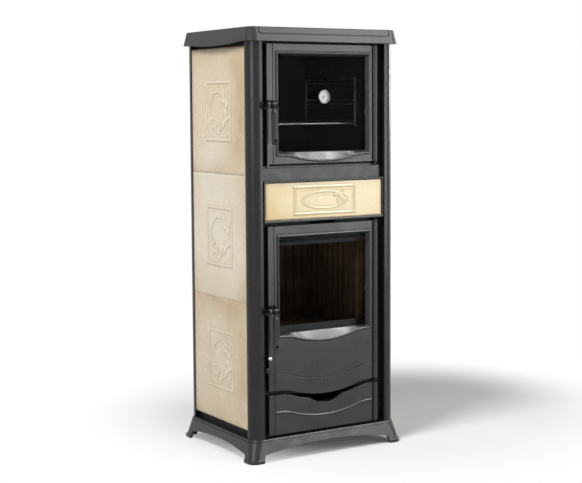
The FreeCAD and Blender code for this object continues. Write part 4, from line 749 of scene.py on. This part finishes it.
def make_floor():
    """A pale floor that keeps the stove's shadow and turns white away from it."""
    mesh = bpy.data.meshes.new("floor")
    corners = ((-1, -1), (1, -1), (1, 1), (-1, 1))
    mesh.from_pydata([(x * floor_size, y * floor_size, 0) for x, y in corners], [], [(0, 1, 2, 3)])
    floor = bpy.data.objects.new("floor", mesh)
    bpy.context.scene.collection.objects.link(floor)
    look = Look("pale_floor")
    look.set(Roughness=0.8, Specular_IOR_Level=0.1)
    look.feed(Base_Color=look.fade(look.noise(scale=2.0), floor_pale))
    glow = look.add("Emission", Color=white, Strength=1.0)
    reach = look.add("VectorMath")
    reach.operation = "DISTANCE"
    reach.inputs[1].default_value = shadow_middle
    look.link(look.place, reach.inputs[0])
    near, far = shadow_reach
    fade = look.add("MapRange", From_Min=near, From_Max=far, To_Min=floor_glow, To_Max=1.0)
    fade.interpolation_type = "SMOOTHSTEP"
    look.link(reach.outputs["Value"], fade.inputs["Value"])
    share = look.times(white_rays(look.tree), fade.outputs["Result"])
    look.show(look.mix_shaders(share, look.surface.outputs["BSDF"], glow.outputs["Emission"]))
    mesh.materials.append(look.material)


def make_world():
    """Even soft light, and white where the camera, a mirror or glass looks past the stove."""
    world = bpy.data.worlds.new("studio")
    bpy.context.scene.world = world
    world.use_nodes = True
    tree = world.node_tree
    tree.nodes.clear()
    soft = tree.nodes.new("ShaderNodeBackground")
    soft.inputs["Color"].default_value = world_tint
    soft.inputs["Strength"].default_value = world_strength
    plain = tree.nodes.new("ShaderNodeBackground")
    plain.inputs["Color"].default_value = white
    plain.inputs["Strength"].default_value = 1.0
    both = tree.nodes.new("ShaderNodeMixShader")
    tree.links.new(white_rays(tree), both.inputs["Fac"])
    tree.links.new(soft.outputs["Background"], both.inputs[1])
    tree.links.new(plain.outputs["Background"], both.inputs[2])
    out = tree.nodes.new("ShaderNodeOutputWorld")
    tree.links.new(both.outputs["Shader"], out.inputs["Surface"])


def area_light(name, place, aim, size, power):
    """A soft box of a width and a height, in watts."""
    light = bpy.data.lights.new(name, "AREA")
    light.shape = "RECTANGLE"
    light.size, light.size_y = size
    light.energy = power
    thing = bpy.data.objects.new(name, light)
    bpy.context.scene.collection.objects.link(thing)
    thing.location = place
    thing.rotation_euler = (Vector(aim) - Vector(place)).to_track_quat("-Z", "Y").to_euler()
    return thing


def sheen_light(name, place, aim, size, power):
    """A soft box that shows in glossy surfaces and leaves matt ones alone."""
    area_light(name, place, aim, size, power).visible_diffuse = False


def make_lamps():
    """Soft boxes that light the stove, and those that only draw its highlights."""
    area_light("left", place=(-2.2, -0.9, 3.8), aim=(0, 0, 0.7), size=(1.2, 1.2), power=128)
    area_light("front", place=(2.55, -3.95, 1.05), aim=(0, 0, 1.0), size=(2.2, 1.6), power=49)
    area_light("overhead", place=(1.9, -2.4, 2.7), aim=(0, 0, 0.7), size=(0.9, 1.5), power=36)
    sheen_light("sill", place=(2.0, -2.5, 2.8), aim=(0, 0, 0.7), size=(1.1, 1.5), power=98)
    sheen_light("top", place=(1.75, -0.6, 3.1), aim=(0, 0, 0.8), size=(0.9, 2.0), power=70)
    sheen_light("left_sheen", place=(-3.6, -2.3, 1.6), aim=(0, 0, 1.0), size=(1.8, 1.2), power=36)
    sheen_light("right_sheen", place=(4.0, 0.2, 1.6), aim=(0, 0, 1.0), size=(1.6, 1.2), power=80)
    sheen_light("base_sheen", place=(2.6, -4.0, 0.45), aim=(0, 0, 0.4), size=(2.0, 0.6), power=9)


def turned(degrees, axis):
    return Matrix.Rotation(math.radians(degrees), 4, axis)


def make_camera():
    data = bpy.data.cameras.new("camera")
    data.sensor_width = camera_sensor
    data.lens = camera_lens
    data.shift_y = camera_shift_y
    thing = bpy.data.objects.new("camera", data)
    bpy.context.scene.collection.objects.link(thing)
    turn = turned(-camera_yaw, "Z") @ turned(90 - camera_pitch, "X") @ turned(camera_roll, "Z")
    thing.rotation_euler = turn.to_euler()
    thing.location = camera_place
    bpy.context.scene.camera = thing


make_floor()
make_world()
make_lamps()
make_camera()

bpy.context.scene.view_settings.view_transform = "Standard"
